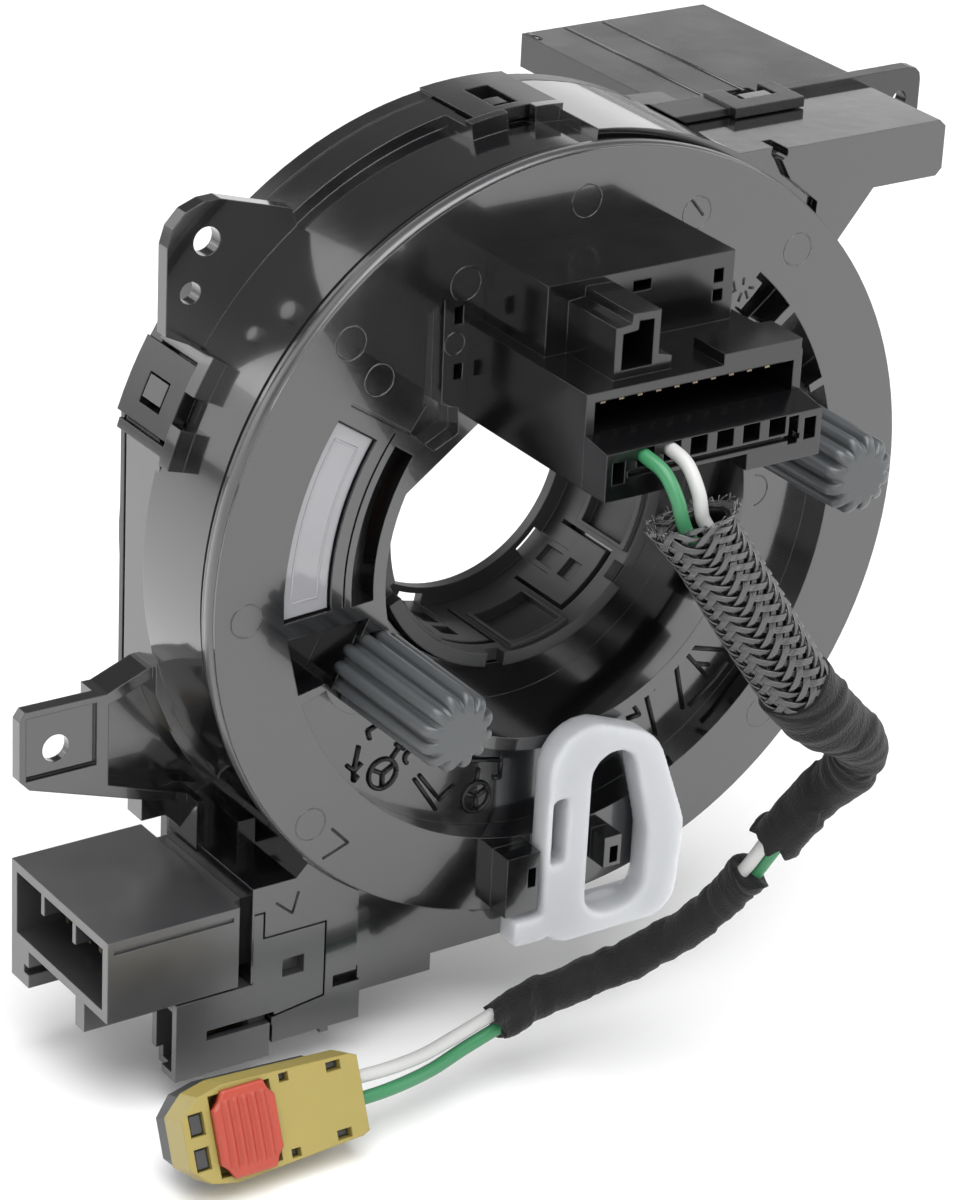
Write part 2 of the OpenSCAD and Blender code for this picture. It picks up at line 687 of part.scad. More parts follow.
module snap_ring() color(dark_grey) {
    inner = ring_r - 1.8;
    edge = ring_r + 0.2;
    difference() {
        union() {
            slab(ring_front, ring_back) circle(r = ring_r);
            slab(tube_end, ring_back) circle(r = ring_flange_r);
            slab(16, 18.2) for (k = [1:tongues]) let (a = tongue_a0 + 360 * k / tongues)
                sector(ring_r - 0.5, ring_r + 1.3, a - 5, a + 5);
        }
        slab(0, tube_end) difference() {
            circle(r = inner);
            // raised frames round the pockets
            for (k = [1:tongues]) let (a = tongue_a0 + 360 * (k + 0.5) / tongues)
                sector(inner - 0.5, inner + 1, a - 13, a + 13);
        }
        slab(0, 10.8) circle(r = inner);
        slab(21.2, tube_end) circle(r = inner);
        slab(0, total_depth + 1) circle(r = shaft_hole_r);
        for (k = [1:tongues]) {
            a = tongue_a0 + 360 * k / tongues;
            p = a + 180 / tongues;
            // slots on both sides of each tongue and in front of it
            slab(13, 24) sector(inner - 1, edge, a - 15, a - 13.4);
            slab(13, 24) sector(inner - 1, edge, a + 13.4, a + 15);
            slab(13, 14) sector(inner - 1, edge, a - 15, a + 15);
            // notch in the front rim, and two pockets in the tongue
            slab(ring_front - 1, 11.8) sector(inner - 1, edge, a + 5, a + 12.5);
            slab(16.2, 18.9) sector(inner - 1, inner + 0.7, a - 4, a + 4);
            slab(20.4, 24) sector(inner - 1, inner + 0.7, a - 3.6, a + 3.6);
            // opening in the rear lip
            slab(20, total_depth) sector(shaft_hole_r + 0.8, inner + 0.1, a - 6, a + 6);
            // pocket between two tongues
            slab(11.7, 20.3) sector(inner - 1, inner + 0.9, p - 11.5, p + 11.5);
        }
    }
}

module inspection_window() color(clear_grey) {
    slab(win_seat, win_seat + 1.5) sector(win_r0 - 0.6, win_r1 + 0.4, win_a0 - 1,
        win_a1 + 1);
}

module connector_block() color(black_pom) {
    difference() {
        union() {
            block(block_x0, block_x1, -block_len, 0, block_z0, block_z1);
            block(upper_x0, upper_x1, -upper_len, 0, block_z1 - eps, upper_z1);
            // keyed socket with a stepped outline
            slab(-22, -upper_len + eps) polygon([[-11.2, block_z1 - 1], [-11.2, 37.5],
                [-9, 37.7], [-8.9, 38.9], [-5, 38.8], [-5, 33.3], [-3.1, 32.8],
                [-3.1, block_z1 - 1]]);
            // thicker edge over the slot's right half
            block(block_x1 - 11.4, block_x1 - 0.2, -block_len, -block_len + 6,
                block_z1 - eps, block_z1 + 1.4);
        }
        // wide slot
        block(block_x0 + block_wall, block_x1 - block_wall, -block_len - 1, -4, slot_z0,
            slot_z1);
        // chamber that takes the comb plug
        block(block_x0 + block_wall, block_x1 - block_wall, -block_len - 1, -6,
            block_z0 + block_wall, slot_z0 + eps);
        // inside of the keyed socket
        slab(-23, -9) polygon([[-10.2, 32.2], [-10.2, 36.6], [-8.1, 36.8], [-8, 37.9],
            [-5.9, 37.8], [-5.9, 32.2]]);
        // inside of the upper part, open towards the rotor
        block(upper_x0 + 7.4, upper_x1 - 1.4, -upper_len + 1.4, 1, block_z1 + 0.4,
            upper_z1 - 1.4);
        // windows in the upper part's front wall
        block(-2.2, 0.4, -upper_len - 1, -upper_len + 2, 37, 38.3);
        block(9.5, 10.9, -upper_len - 1, -upper_len + 2, 36.1, 37.8);
        block(9.5, 10.9, -upper_len - 1, -upper_len + 2, 33.7, 35.2);
    }
}

// row of thin terminals in the wide slot
module block_terminals() color(tin) {
    for (i = [0:9])
        block(block_x0 + 3.4 + i * 2.6, block_x0 + 4.1 + i * 2.6, -block_len + 2, -4,
            slot_z1 - 1.3, slot_z1 - 0.6);
}

module comb_plug() color(black_pom) {
    difference() {
        union() {
            // outer part with its sloping top
            translate([block_x0, 0, 0]) rotate([90, 0, 90])
                linear_extrude(height = block_w) polygon([
                [comb_front - total_depth, block_z0],
                [-block_len - total_depth, block_z0],
                [-block_len - total_depth, slot_z0 - 0.2],
                [comb_front - total_depth, comb_z1 - 0.5]]);
            block(block_x0 + block_wall + seat_gap, block_x1 - block_wall - seat_gap,
                -block_len - eps, -8, block_z0 + block_wall, slot_z0 - 0.2);
        }
        for (i = [0:cavities - 1]) {
            x = cavity_x0 + i * cavity_pitch;
            block(x - cavity_w / 2, x + cavity_w / 2, comb_front - 1, comb_front + cavity_d,
                cavity_z - 1.1, cavity_z + 1.1);
        }
        // long recess below the cavities and the end windows
        block(-13.2, 11.3, comb_front - 1, comb_front + 0.8, 22.1, 22.8);
        block(-15.3, -13.6, comb_front - 1, comb_front + 3, 21.5, 24.2);
        block(11.9, 13.6, comb_front - 1, comb_front + 3, 21.8, 24.5);
        block(9.6, 11, comb_front - 1, comb_front + 2, 21.6, 25.1);
        // notch in the lower edge, where the wires leave
        block(-7, 3.8, comb_front - 1, -block_len + 0.1, block_z0 - 1, block_z0 + 2.1);
    }
}

// ribbed drive pin
module drive_pin(p) {
    tip = pin_base - pin_len;
    core = pin_r - 0.75;
    bar(p[0], p[1], core, tip + 1.6, pin_base, 48);
    for (k = [0:pin_ribs - 1])
        bar(p[0] + core * cos(360 * k / pin_ribs), p[1] + core * sin(360 * k / pin_ribs),
            0.75, tip + 1.6, pin_base, 24);
    translate([p[0], tip + 1.6 - total_depth, p[1]]) rotate([90, 0, 0])
        cylinder(r1 = core, r2 = core - 1.2, h = 1.6, $fn = 48);
}

module drive_pin_left() color(pin_grey) drive_pin(pin_left_at);

module drive_pin_right() color(pin_grey) drive_pin(pin_right_at);

// flat D-shaped ring that keeps the rotor centred until it is pulled out
module transport_lock() color(milk) follow(270) {
    slab(lock_front, lock_back) difference() {
        hull() {
            translate([2.6, -30.4]) circle(r = 6, $fn = 32);
            translate([7.6, -33.2]) circle(r = 6.8, $fn = 32);
            translate([11.6, -42.5]) circle(r = 6.3, $fn = 32);
            translate([13.3, -50.5]) circle(r = 4, $fn = 32);
            translate([0.6, -50.5]) circle(r = 4, $fn = 32);
        }
        hull() {
            translate([6.4, -32.4]) circle(r = 3.5, $fn = 32);
            translate([8.5, -41.8]) circle(r = 3.7, $fn = 32);
            translate([8.4, -48.2]) circle(r = 3.8, $fn = 32);
            translate([6.7, -48.2]) circle(r = 3.8, $fn = 32);
        }
        translate([-2.6, -42.9]) square([2.2, 9.1]);
    }
    // lip at the lower left, hook behind the rim and stem in the rotor's guide
    block(-7.5, -3, lock_front, lock_back, -53.4, -49.9);
    block(-5.5, 15.6, lock_back - eps, 1.4, -54.2, -51.2);
    block(lock_stem[0], lock_stem[1], lock_back - eps, 2.4, lock_stem[2], lock_stem[3]);
}

// AIRBAG LEAD

module green_wire() color(green) tube(0, lead_stations - 1, wire_d / 2, 1);

module white_wire() color(white) tube(0, lead_stations - 1, wire_d / 2, -1);

module braided_sleeve() color(braid_grey) tube(4, 9, sleeve_d / 2, 0);

module tape_upper() color(tape_black) tube(9, 15, tape_d / 2, 0);

module tape_lower() color(tape_black) tube(16, 23, tape_low_d / 2, 0);

// puts a shape from the airbag plug's own frame (length, width, height) in its place
module at_plug() {
    translate([plug_rear[0], plug_rear[1] - total_depth, plug_rear[2]])
        rotate([0, -plug_tilt, 0]) rotate([plug_roll, 0, 0]) rotate([0, 0, 180])
        children();
}

// outline of the airbag plug, wider towards its nose; d takes a rim off all round
module plug_shape(d) {
    w = plug_w / 2;
    polygon([[d, -w + 1.3 + d], [1, -w + 0.9 + d], [plug_len - 6, -w + d],
        [plug_len - 2.6, -w + 0.7 + d], [plug_len - d, -w + 3 + d],
        [plug_len - d, w - 3 - d], [plug_len - 2.6, w - 0.7 - d], [plug_len - 6, w - d],
        [1, w - 0.9 - d], [d, w - 1.3 - d]]);
}

module airbag_plug_body() color(yellow) at_plug() {
    difference() {
        translate([0, 0, plug_low]) linear_extrude(height = plug_top - plug_low)
            plug_shape(0);
        // seat of the lock
        translate([lock_x0, -lock_w / 2, 0.4]) cube([lock_x1 - lock_x0, lock_w, 5]);
        // small windows, two at the rear, two beside the lock and two in the nose
        for (y = [-4.8, 3.6]) translate([2.4, y, plug_top - 1.2]) cube([2, 1.2, 3]);
        for (y = [-5.2, 4.1]) translate([9.6, y, plug_top - 1.2]) cube([1.3, 1.1, 3]);
        for (y = [-3.5, 0.7]) translate([plug_len - 2.9, y, plug_top - 1.4])
            cube([2, 2.8, 3]);
    }
}

module airbag_plug_base() color(dark_grey) at_plug() {
    translate([0, 0, plug_low - base_h]) linear_extrude(height = base_h)
        intersection() {
            plug_shape(0.5);
            translate([3.4, -20]) square([40, 40]);
        }
}

// lock that secures the airbag plug, with grip ribs on its top
module airbag_plug_lock() color(orange) at_plug() {
    translate([lock_x0 + seat_gap, -lock_w / 2 + seat_gap, 0.4])
        cube([lock_x1 - lock_x0 - 2 * seat_gap, lock_w - 2 * seat_gap, plug_top + 0.2]);
    for (i = [0:3]) translate([lock_x0 + 1.4 + i * 1.75, -lock_w / 2 + 1, plug_top])
        cube([0.9, lock_w - 2, 0.9]);
}

stator_shell();
rear_cover();
harness_socket();
harness_terminals();
small_socket();
small_terminals();
rear_terminals();
ribbon_cable();
rotor_disc();
snap_ring();
inspection_window();
connector_block();
block_terminals();
comb_plug();
drive_pin_left();
drive_pin_right();
transport_lock();
green_wire();
white_wire();
braided_sleeve();
tape_upper();
tape_lower();
airbag_plug_body();
airbag_plug_base();
airbag_plug_lock();
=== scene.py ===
# %% [markdown]
# # A steering clock spring, finished in Blender
#
# The solid parts come from CAD as a fixed frame: a fixed housing, a rotor that turns in it,
# a white transport lock and a short airbag lead. This lesson gives them their plastics, and
# builds what CAD can't do well: the wires, the braided sleeve, the cloth tape and the small
# marks that moulding leaves. Everything is in metres, in the frame of the CAD model.

# %% Load the frame
import json
import math

import bpy
import numpy as np
from mathutils import Matrix, Vector


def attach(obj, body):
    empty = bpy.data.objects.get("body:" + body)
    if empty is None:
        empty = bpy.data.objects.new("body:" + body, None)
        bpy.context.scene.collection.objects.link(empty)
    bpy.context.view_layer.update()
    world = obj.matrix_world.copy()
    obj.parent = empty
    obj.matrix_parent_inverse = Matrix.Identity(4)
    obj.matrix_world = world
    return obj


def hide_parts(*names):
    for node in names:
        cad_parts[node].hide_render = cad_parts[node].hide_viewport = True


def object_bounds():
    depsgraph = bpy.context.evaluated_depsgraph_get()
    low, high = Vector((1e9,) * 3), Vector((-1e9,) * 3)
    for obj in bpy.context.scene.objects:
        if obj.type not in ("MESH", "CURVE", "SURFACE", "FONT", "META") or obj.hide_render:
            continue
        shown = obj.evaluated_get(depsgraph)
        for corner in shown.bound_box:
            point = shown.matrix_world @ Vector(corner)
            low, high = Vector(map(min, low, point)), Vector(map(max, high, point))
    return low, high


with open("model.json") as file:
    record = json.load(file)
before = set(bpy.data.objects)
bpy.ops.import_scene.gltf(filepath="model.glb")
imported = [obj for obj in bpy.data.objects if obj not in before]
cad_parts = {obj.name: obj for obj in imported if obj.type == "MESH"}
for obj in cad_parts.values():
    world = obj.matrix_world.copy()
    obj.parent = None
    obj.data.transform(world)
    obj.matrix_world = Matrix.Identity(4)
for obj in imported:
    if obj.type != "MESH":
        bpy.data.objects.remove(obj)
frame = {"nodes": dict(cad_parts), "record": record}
nodes = frame["nodes"]
cad_low, cad_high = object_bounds()
MM = 0.001
TOTAL_DEPTH = 28.0
print("CAD nodes:", len(nodes), "box in mm:", [round(v / MM, 1) for v in (*cad_low, *cad_high)])

# %% [markdown]
# ## The camera
#
# The unit is seen from its left front, a little from above, through a long lens, so its
# round faces stay nearly true ellipses. A camera is a matrix whose columns are its right,
# its up and its backward direction. Working them out from three angles (round the object,
# above the horizon, and the roll of the picture) keeps each of them easy to adjust.

# %% Make the camera
CAMERA_AZIMUTH = math.radians(-34.82)
CAMERA_ELEVATION = math.radians(25.36)
CAMERA_ROLL = math.radians(2.96)
CAMERA_PLACE = Vector((-0.28047, -0.41229, 0.21660))
LENS_MM = 128.66
SENSOR_MM = 36.0


def camera_matrix():
    """Columns are right, up and backward: backward from azimuth and elevation, right level
    with the floor, then both right and up turned by the roll."""
    az, el, roll = CAMERA_AZIMUTH, CAMERA_ELEVATION, CAMERA_ROLL
    back = Vector((math.sin(az) * math.cos(el), -math.cos(az) * math.cos(el), math.sin(el)))
    level = Vector((math.cos(az), math.sin(az), 0))
    upright = back.cross(level)
    right = level * math.cos(roll) + upright * math.sin(roll)
    up = upright * math.cos(roll) - level * math.sin(roll)
    m = Matrix((right, up, back)).transposed().to_4x4()
    m.translation = CAMERA_PLACE
    return m


camera_data = bpy.data.cameras.new("camera")
camera_data.sensor_fit = "VERTICAL"
camera_data.sensor_height = SENSOR_MM
camera_data.sensor_width = SENSOR_MM
camera_data.lens = LENS_MM
camera_data.clip_start, camera_data.clip_end = 0.01, 20.0
camera = bpy.data.objects.new("camera", camera_data)
bpy.context.scene.collection.objects.link(camera)
camera.matrix_world = camera_matrix()
bpy.context.scene.camera = camera
print("camera at", [round(v, 4) for v in camera.location], "lens", LENS_MM, "mm")

# %% [markdown]
# ## Surfaces as arrays
#
# Every new piece is a grid of points worked out in one go with numpy. A grid whose rows
# close on themselves is a tube; capped at both ends it is a closed solid. The sign of its
# volume tells whether its faces point outwards, so a piece can never end up inside out.


# %% Helpers that turn arrays into meshes
def outward(points, faces):
    """The four-cornered faces, turned over if the solid's volume, the sum of the signed
    volumes of the tetrahedra from the origin to their two triangles, is negative."""
    a, b, c, d = (points[faces[:, k]] for k in range(4))
    volume = np.einsum("ij,ij->i", a, np.cross(b, c)).sum()
    volume += np.einsum("ij,ij->i", a, np.cross(c, d)).sum()
    return faces[:, ::-1] if volume < 0 else faces


def put_mesh(name, points, quads, smooth=True, triangles=()):
    """A new object from points in metres and faces of four and of three corners."""
    mesh = bpy.data.meshes.new(name)
    mesh.from_pydata(points.tolist(), [], quads.tolist() + [list(face) for face in triangles])
    mesh.polygons.foreach_set("use_smooth", np.full(len(mesh.polygons), smooth))
    mesh.update()
    obj = bpy.data.objects.new(name, mesh)
    bpy.context.scene.collection.objects.link(obj)
    return obj


def tube_faces(rows, sides):
    """Quads between neighbouring rings of a tube whose rings each have that many points."""
    i, j = np.meshgrid(np.arange(rows - 1), np.arange(sides), indexing="ij")
    k = (j + 1) % sides
    quads = np.stack([i * sides + j, (i + 1) * sides + j, (i + 1) * sides + k, i * sides + k], -1)
    return quads.reshape(-1, 4)


def tube_solid(rings):
    """Points and faces of a closed tube: the rings' quads, and a fan of triangles to a
    middle point at each end."""
    rows, sides = rings.shape[:2]
    points = np.concatenate([rings.reshape(-1, 3), rings[:1].mean(1), rings[-1:].mean(1)])
    j = np.arange(sides)
    k = (j + 1) % sides
    last = (rows - 1) * sides
    start = np.stack([np.full(sides, rows * sides), j, k, k], -1)
    end = np.stack([np.full(sides, rows * sides + 1), last + k, last + j, last + j], -1)
    return points, outward(points, np.concatenate([tube_faces(rows, sides), start, end]))


def join_solids(parts):
    """Several points-and-faces pairs as one pair."""
    counts = np.cumsum([0] + [len(p) for p, _ in parts[:-1]])
    return (np.concatenate([p for p, _ in parts]),
            np.concatenate([f + n for (_, f), n in zip(parts, counts)]))


def put_solid(name, points, faces, smooth=True):
    """put_mesh for faces in which a repeated corner stands for a triangle."""
    triangle = (faces[:, 2] == faces[:, 3]) | (faces[:, 0] == faces[:, 1])
    odd = faces[triangle]
    same_start = (odd[:, 0] == odd[:, 1])[:, None]
    odd = np.where(same_start, odd[:, 1:], odd[:, :3])
    return put_mesh(name, points, faces[~triangle], smooth, odd.tolist())


print("helpers ready")

# %% [markdown]
# ## The route of the airbag lead
#
# The lead comes out of the comb plug, curls over, runs through a braided sleeve, two wraps
# of cloth tape and a bare gap, and ends in the yellow plug. The CAD model follows the same
# stations with straight pieces. Here a Catmull-Rom curve runs through them: between two
# stations the point is a cubic blend of the four nearest ones, so the curve passes through
# each station and never has a kink.

# %% The lead's stations and the smooth curve through them
# In millimetres: across, depth from the rotor's face (forward is negative) and height.
LEAD_STATIONS = np.array([
    [-8.9, -25.5, 24.2], [-8.9, -28.6, 24.2], [-8.7, -31.6, 23.4], [-8.6, -34, 21],
    [-8.3, -35.2, 17.9], [-6, -36, 14.1], [-3.2, -36.8, 9.6], [-0.2, -37.5, 4.8],
    [3.2, -38, -0.4], [6.9, -38.2, -5.4], [11, -38.2, -9.8], [15.4, -37.8, -13],
    [18.4, -36.2, -17], [18.2, -33.4, -21.6], [16, -30.6, -26.2], [13.4, -28.2, -31.4],
    [11.8, -25.8, -36.6], [10.6, -24, -39.8], [8.8, -21.8, -43.6], [5.6, -19.4, -47.4],
    [1.6, -16.8, -50.6], [-3.4, -14.4, -53.2], [-9, -12.6, -55.4], [-14.9, -12, -57.2],
    [-20.6, -12.4, -58.5], [-26.6, -13.6, -59.2], [-32.8, -15, -58.8], [-38.2, -15, -58.8]])
LAST_STATION = len(LEAD_STATIONS) - 1
WIRE_RADIUS = 0.85  # of one wire, in millimetres
WIRE_APART = 0.97  # from the lead's middle to a wire's middle, and so are the next two
COMB_APART = 1.875
PLUG_APART = 1.4
TWIST_FROM, TWIST_OVER = 4, 9  # stations


def lead_stations_m():
    """Stations in metres in the CAD frame: their depth counts from the rotor's face."""
    return (LEAD_STATIONS - [0, TOTAL_DEPTH, 0]) * MM


def catmull_rom(points, u):
    """Cubic through the points at real positions u: with t the part of the step from p1 to
    p2, half of 2*p1 + (p2-p0)*t + (2*p0-5*p1+4*p2-p3)*t^2 + (3*p1-p0-3*p2+p3)*t^3."""
    padded = np.vstack([2 * points[0] - points[1], points, 2 * points[-1] - points[-2]])
    i = np.clip(np.floor(u).astype(int), 0, len(points) - 2)
    t = (u - i)[:, None]
    p0, p1, p2, p3 = (padded[i + k] for k in range(4))
    return 0.5 * (2 * p1 + (p2 - p0) * t + (2 * p0 - 5 * p1 + 4 * p2 - p3) * t ** 2
                  + (3 * p1 - p0 - 3 * p2 + p3) * t ** 3)


def unit(v):
    """Each row divided by its length."""
    return v / np.linalg.norm(v, axis=-1, keepdims=True)


def lead_frame(u):
    """Centre, direction, sideways and upward vectors of the lead at positions u. Sideways
    is the cross product of the direction with a reference that swings from +Z to between
    +Z and -Y over the first three stations."""
    points = lead_stations_m()
    centre = catmull_rom(points, u)
    step = 0.02
    along = unit(catmull_rom(points, np.minimum(u + step, LAST_STATION))
                 - catmull_rom(points, np.maximum(u - step, 0)))
    t = np.clip(u / 3, 0, 1)
    ref = unit(np.stack([0 * t, -t, 1 - 0.65 * t], -1))
    side = unit(np.cross(along, ref))
    return centre, along, side, np.cross(along, side)


def wire_line(u, which):
    """Centreline of one wire: the lead's centre moved sideways by the wires' distance, in a
    direction that makes half a turn over the stations of the twist."""
    centre, _, side, up = lead_frame(u)
    roll = np.pi * np.clip((u - TWIST_FROM) / TWIST_OVER, 0, 1)[:, None]
    apart = np.interp(u, [0, 1, 6, LAST_STATION - 3, LAST_STATION],
                      [COMB_APART, COMB_APART, WIRE_APART, WIRE_APART, PLUG_APART])[:, None]
    return centre + which * apart * MM * (np.cos(roll) * side + np.sin(roll) * up)


def rings_along(line, radius, sides, side_hint):
    """Circles round a line: at each point an angle v goes round in the plane of two vectors
    square to the line, at a radius that may change along it."""
    along = unit(np.gradient(line, axis=0))
    a = unit(np.cross(side_hint, along))
    b = np.cross(along, a)
    v = np.linspace(0, 2 * np.pi, sides, endpoint=False)[None, :, None]
    r = np.broadcast_to(np.asarray(radius, float), (len(line),))[:, None, None]
    return line[:, None] + r * (np.cos(v) * a[:, None] + np.sin(v) * b[:, None])


def length_of(line):
    """Sum of the distances between neighbouring points."""
    return float(np.linalg.norm(np.diff(line, axis=0), axis=1).sum())


# %% Make the two wires
STEPS_PER_STATION = 8
u_lead = np.linspace(0, LAST_STATION, LAST_STATION * STEPS_PER_STATION + 1)
_, _, lead_side, _ = lead_frame(u_lead)
wires = {}
for wire_name, which in (("green_lead", 1), ("white_lead", -1)):
    line = wire_line(u_lead, which)
    rings = rings_along(line, WIRE_RADIUS * MM, 16, lead_side)
    wires[wire_name] = (put_solid(wire_name, *tube_solid(rings)), line)
    print(wire_name, "is", round(length_of(line) / MM, 1), "mm long")

# %% [markdown]
# ## The braided sleeve
#
# The real sleeve is woven from flat bundles of plastic thread: half of them wind clockwise
# and half the other way, and each passes over two and under two of the others, which gives
# the herringbone pattern. A bump texture would look flat at its edge, so every thread is
# modelled: its angle grows along the lead, and its distance from the middle follows a
# cosine whose period is four crossings. At the mouth the sleeve flares and frays.

# %% Make the braided sleeve
BRAID_CARRIERS = 12
BRAID_THREADS = 4
BRAID_TURNS = 1.55
BRAID_START, BRAID_END = 3.75, 9.25  # stations
LINING_START = BRAID_START + 0.35
LINING_FLOOR = 5.2
BRAID_LIFT = 0.24 * MM
THREAD_RADIUS = 0.15 * MM
THREAD_SPACING = 0.27 * MM


def braid_radius(u):
    """Radius of the sleeve's middle surface: 3.95 mm, with a mouth that widens by 1.5 mm as
    a falling exponential towards the start, and a swell of 0.25 mm halfway."""
    widen = 1.5 * np.exp(-(u - BRAID_START) / 0.35)
    swell = 0.25 * np.sin(np.pi * (u - BRAID_START) / (BRAID_END - BRAID_START))
    return (3.95 + widen + swell) * MM


def braid_thread(turn, carrier, offset, steps=110):
    """Rings of one thread. With w the turning angle so far, the thread stands at angle
    turn*w plus its carrier's share of the circle, and at crossing number q it is lifted by
    cos(pi*q/2 + pi*carrier + pi/4), up for one family and down for the other."""
    u = np.linspace(BRAID_START, BRAID_END, steps)
    w = 2 * np.pi * BRAID_TURNS * (u - BRAID_START) / (BRAID_END - BRAID_START)
    radius = braid_radius(u)
    angle = turn * w + 2 * np.pi * carrier / BRAID_CARRIERS + offset / radius
    q = BRAID_CARRIERS * w / np.pi
    lift = turn * np.cos(np.pi * q / 2 * turn + np.pi * carrier + np.pi / 4)
    wave = BRAID_LIFT * np.tanh(2.2 * lift) / np.tanh(2.2)
    centre, _, side, up = lead_frame(u)
    out = np.cos(angle)[:, None] * side + np.sin(angle)[:, None] * up
    line = centre + (radius + wave)[:, None] * out
    return rings_along(line, THREAD_RADIUS, 5, out)


braid_parts = [
    tube_solid(braid_thread(turn, carrier, (k - (BRAID_THREADS - 1) / 2) * THREAD_SPACING))
    for turn in (1, -1) for carrier in range(BRAID_CARRIERS) for k in range(BRAID_THREADS)]
braid = put_solid("sleeve_braid", *join_solids(braid_parts))
print("braid threads:", len(braid_parts), "triangles:", 2 * len(braid.data.polygons))


# %% Make the sleeve's dark lining and its frayed ends
def lining_profile():
    """Stations and radii of the lining: out along the inside from its floor to the mouth,
    then back along the outside."""
    inside = np.linspace(LINING_FLOOR, LINING_START, 14)
    outside = np.linspace(LINING_START, BRAID_END, 50)
    radius = np.concatenate([braid_radius(inside) - 0.75 * MM,
                             braid_radius(outside) - 0.36 * MM])
    return np.concatenate([inside, outside]), radius


lining_u, lining_r = lining_profile()
lining_c, _, lining_side, lining_up = lead_frame(lining_u)
turn_v = np.linspace(0, 2 * np.pi, 48, endpoint=False)[None, :, None]
lining_rings = lining_c[:, None] + lining_r[:, None, None] * (
    np.cos(turn_v) * lining_side[:, None] + np.sin(turn_v) * lining_up[:, None])
lining = put_solid("sleeve_lining", *tube_solid(lining_rings))

rng = np.random.default_rng(7)
FRAYS = 44


def fray(k):
    """One loose thread end at the mouth: it leaves the rim backwards and bends by a random
    amount, as the square of the way along it."""
    angle, reach, bend = rng.uniform(0, 2 * np.pi), rng.uniform(0.3, 1.1), rng.normal(0, 0.5)
    s = np.linspace(0, 1, 7)
    u = np.full_like(s, BRAID_START + 0.1)
    centre, along, side, up = lead_frame(u)
    radius = braid_radius(u) + (0.35 * s ** 2 + rng.uniform(-0.35, 0.15)) * MM
    turned = angle + 0.35 * bend * s ** 2
    out = np.cos(turned)[:, None] * side + np.sin(turned)[:, None] * up
    line = centre + radius[:, None] * out - (reach * MM * s)[:, None] * along
    return tube_solid(rings_along(line, 0.09 * MM, 4, out))


frays = put_solid("sleeve_frays", *join_solids([fray(k) for k in range(FRAYS)]))
print("frayed ends:", FRAYS)

# %% [markdown]
# ## The cloth tape
#
# The tape is wound in a shallow spiral, so its surface has a small step once a turn, and it
# is never smooth: it puckers where the lead bends, and its cut ends are ragged. Its radius
# is a function of the place along the lead and of the angle round it: a smooth run between
# a few measured radii, a saw tooth for the overlap, and low waves for the puckers.


# %% Make the two tape wraps
LIP_RADIUS = 1.7  # where the tape's ends turn in to the wires, in millimetres


def waves(a, b, seed, count=7, finest=6.0):
    """Smooth noise between about -1 and 1: a sum of sines of both parameters with random
    directions and phases, the finer ones weaker."""
    draw = np.random.default_rng(seed)
    total = np.zeros(np.broadcast(a, b).shape)
    for k in range(count):
        pitch = 1 + (finest - 1) * k / (count - 1)
        turn = draw.integers(1, 4)
        total += np.sin(2.6 * pitch * a + turn * b + draw.uniform(0, 6.28)) / (count * pitch ** 0.4)
    return total * 1.8


def tape_wrap(name, u0, u1, radius_at, overlap, lead_mm, pucker, ragged, seed, tongue=(0, 0, 0)):
    """A closed tube whose radius is radius_at(u) plus the overlap's saw tooth, which falls
    by its height once per lead_mm of length, plus puckers and a finer crumple. Its two ends
    are ragged, and turn in to the wires. The tongue is a torn corner at the far end: its
    angle, its extra length in stations and how far it stands off."""
    steps, sides = 210, 96
    s = np.linspace(0, 1, steps)[:, None]
    v = np.linspace(0, 2 * np.pi, sides, endpoint=False)[None, :]
    start = u0 + ragged * waves(0 * v, v, seed + 1)
    at, longer, lift = tongue
    corner = np.exp(-((np.cos(v - at) - 1) / 0.05) ** 2)
    end = u1 + ragged * waves(0 * v, 3 * v, seed + 2) + longer * corner
    u = start + (end - start) * s
    length = length_of(lead_frame(np.linspace(u0, u1, 60))[0]) / MM
    tooth = (s * length / lead_mm + v / (2 * np.pi)) % 1
    step_shape = np.clip(tooth / 0.06, 0, 1) * (1 - tooth)
    crumple = 0.45 * pucker * waves(u, 2 * v, seed + 5, count=12, finest=30)
    radius = (radius_at(u) + overlap * step_shape + pucker * waves(u, v, seed) + crumple
              + lift * corner * s ** 20)
    centre, _, side, up = (q.reshape(steps, sides, 3) for q in lead_frame(u.ravel()))
    out = np.cos(v)[..., None] * side + np.sin(v)[..., None] * up
    rings = centre + (radius * MM)[..., None] * out
    lips = [centre[k] + (LIP_RADIUS * MM) * out[k] for k in (0, -1)]
    rings = np.concatenate([lips[:1], rings, lips[1:]])
    return put_solid(name, *tube_solid(rings))


def radius_run(stations, radii):
    """A function of the station that runs straight between measured radii."""
    return lambda u: np.interp(u, stations, radii)


upper_wrap = tape_wrap(
    "tape_wrap_upper", 8.75, 15.05,
    radius_run([8.7, 9.6, 10.6, 11.5, 12.6, 13.4, 14.6, 15.3],
               [4.55, 4.4, 3.55, 3.2, 3.3, 2.95, 2.9, 3.3]),
    overlap=0.30, lead_mm=9.0, pucker=0.26, ragged=0.16, seed=3, tongue=(2.4, 0.45, 1.1))
lower_wrap = tape_wrap(
    "tape_wrap_lower", 16.1, 23.1,
    radius_run([15.8, 16.6, 18, 20, 21.5, 22.6, 23.2], [2.9, 2.4, 2.3, 2.45, 2.35, 2.5, 2.3]),
    overlap=0.26, lead_mm=8.0, pucker=0.22, ragged=0.16, seed=8, tongue=(5.2, 0.2, 0.6))
print("tape wraps:", len(upper_wrap.data.vertices), "and", len(lower_wrap.data.vertices), "points")

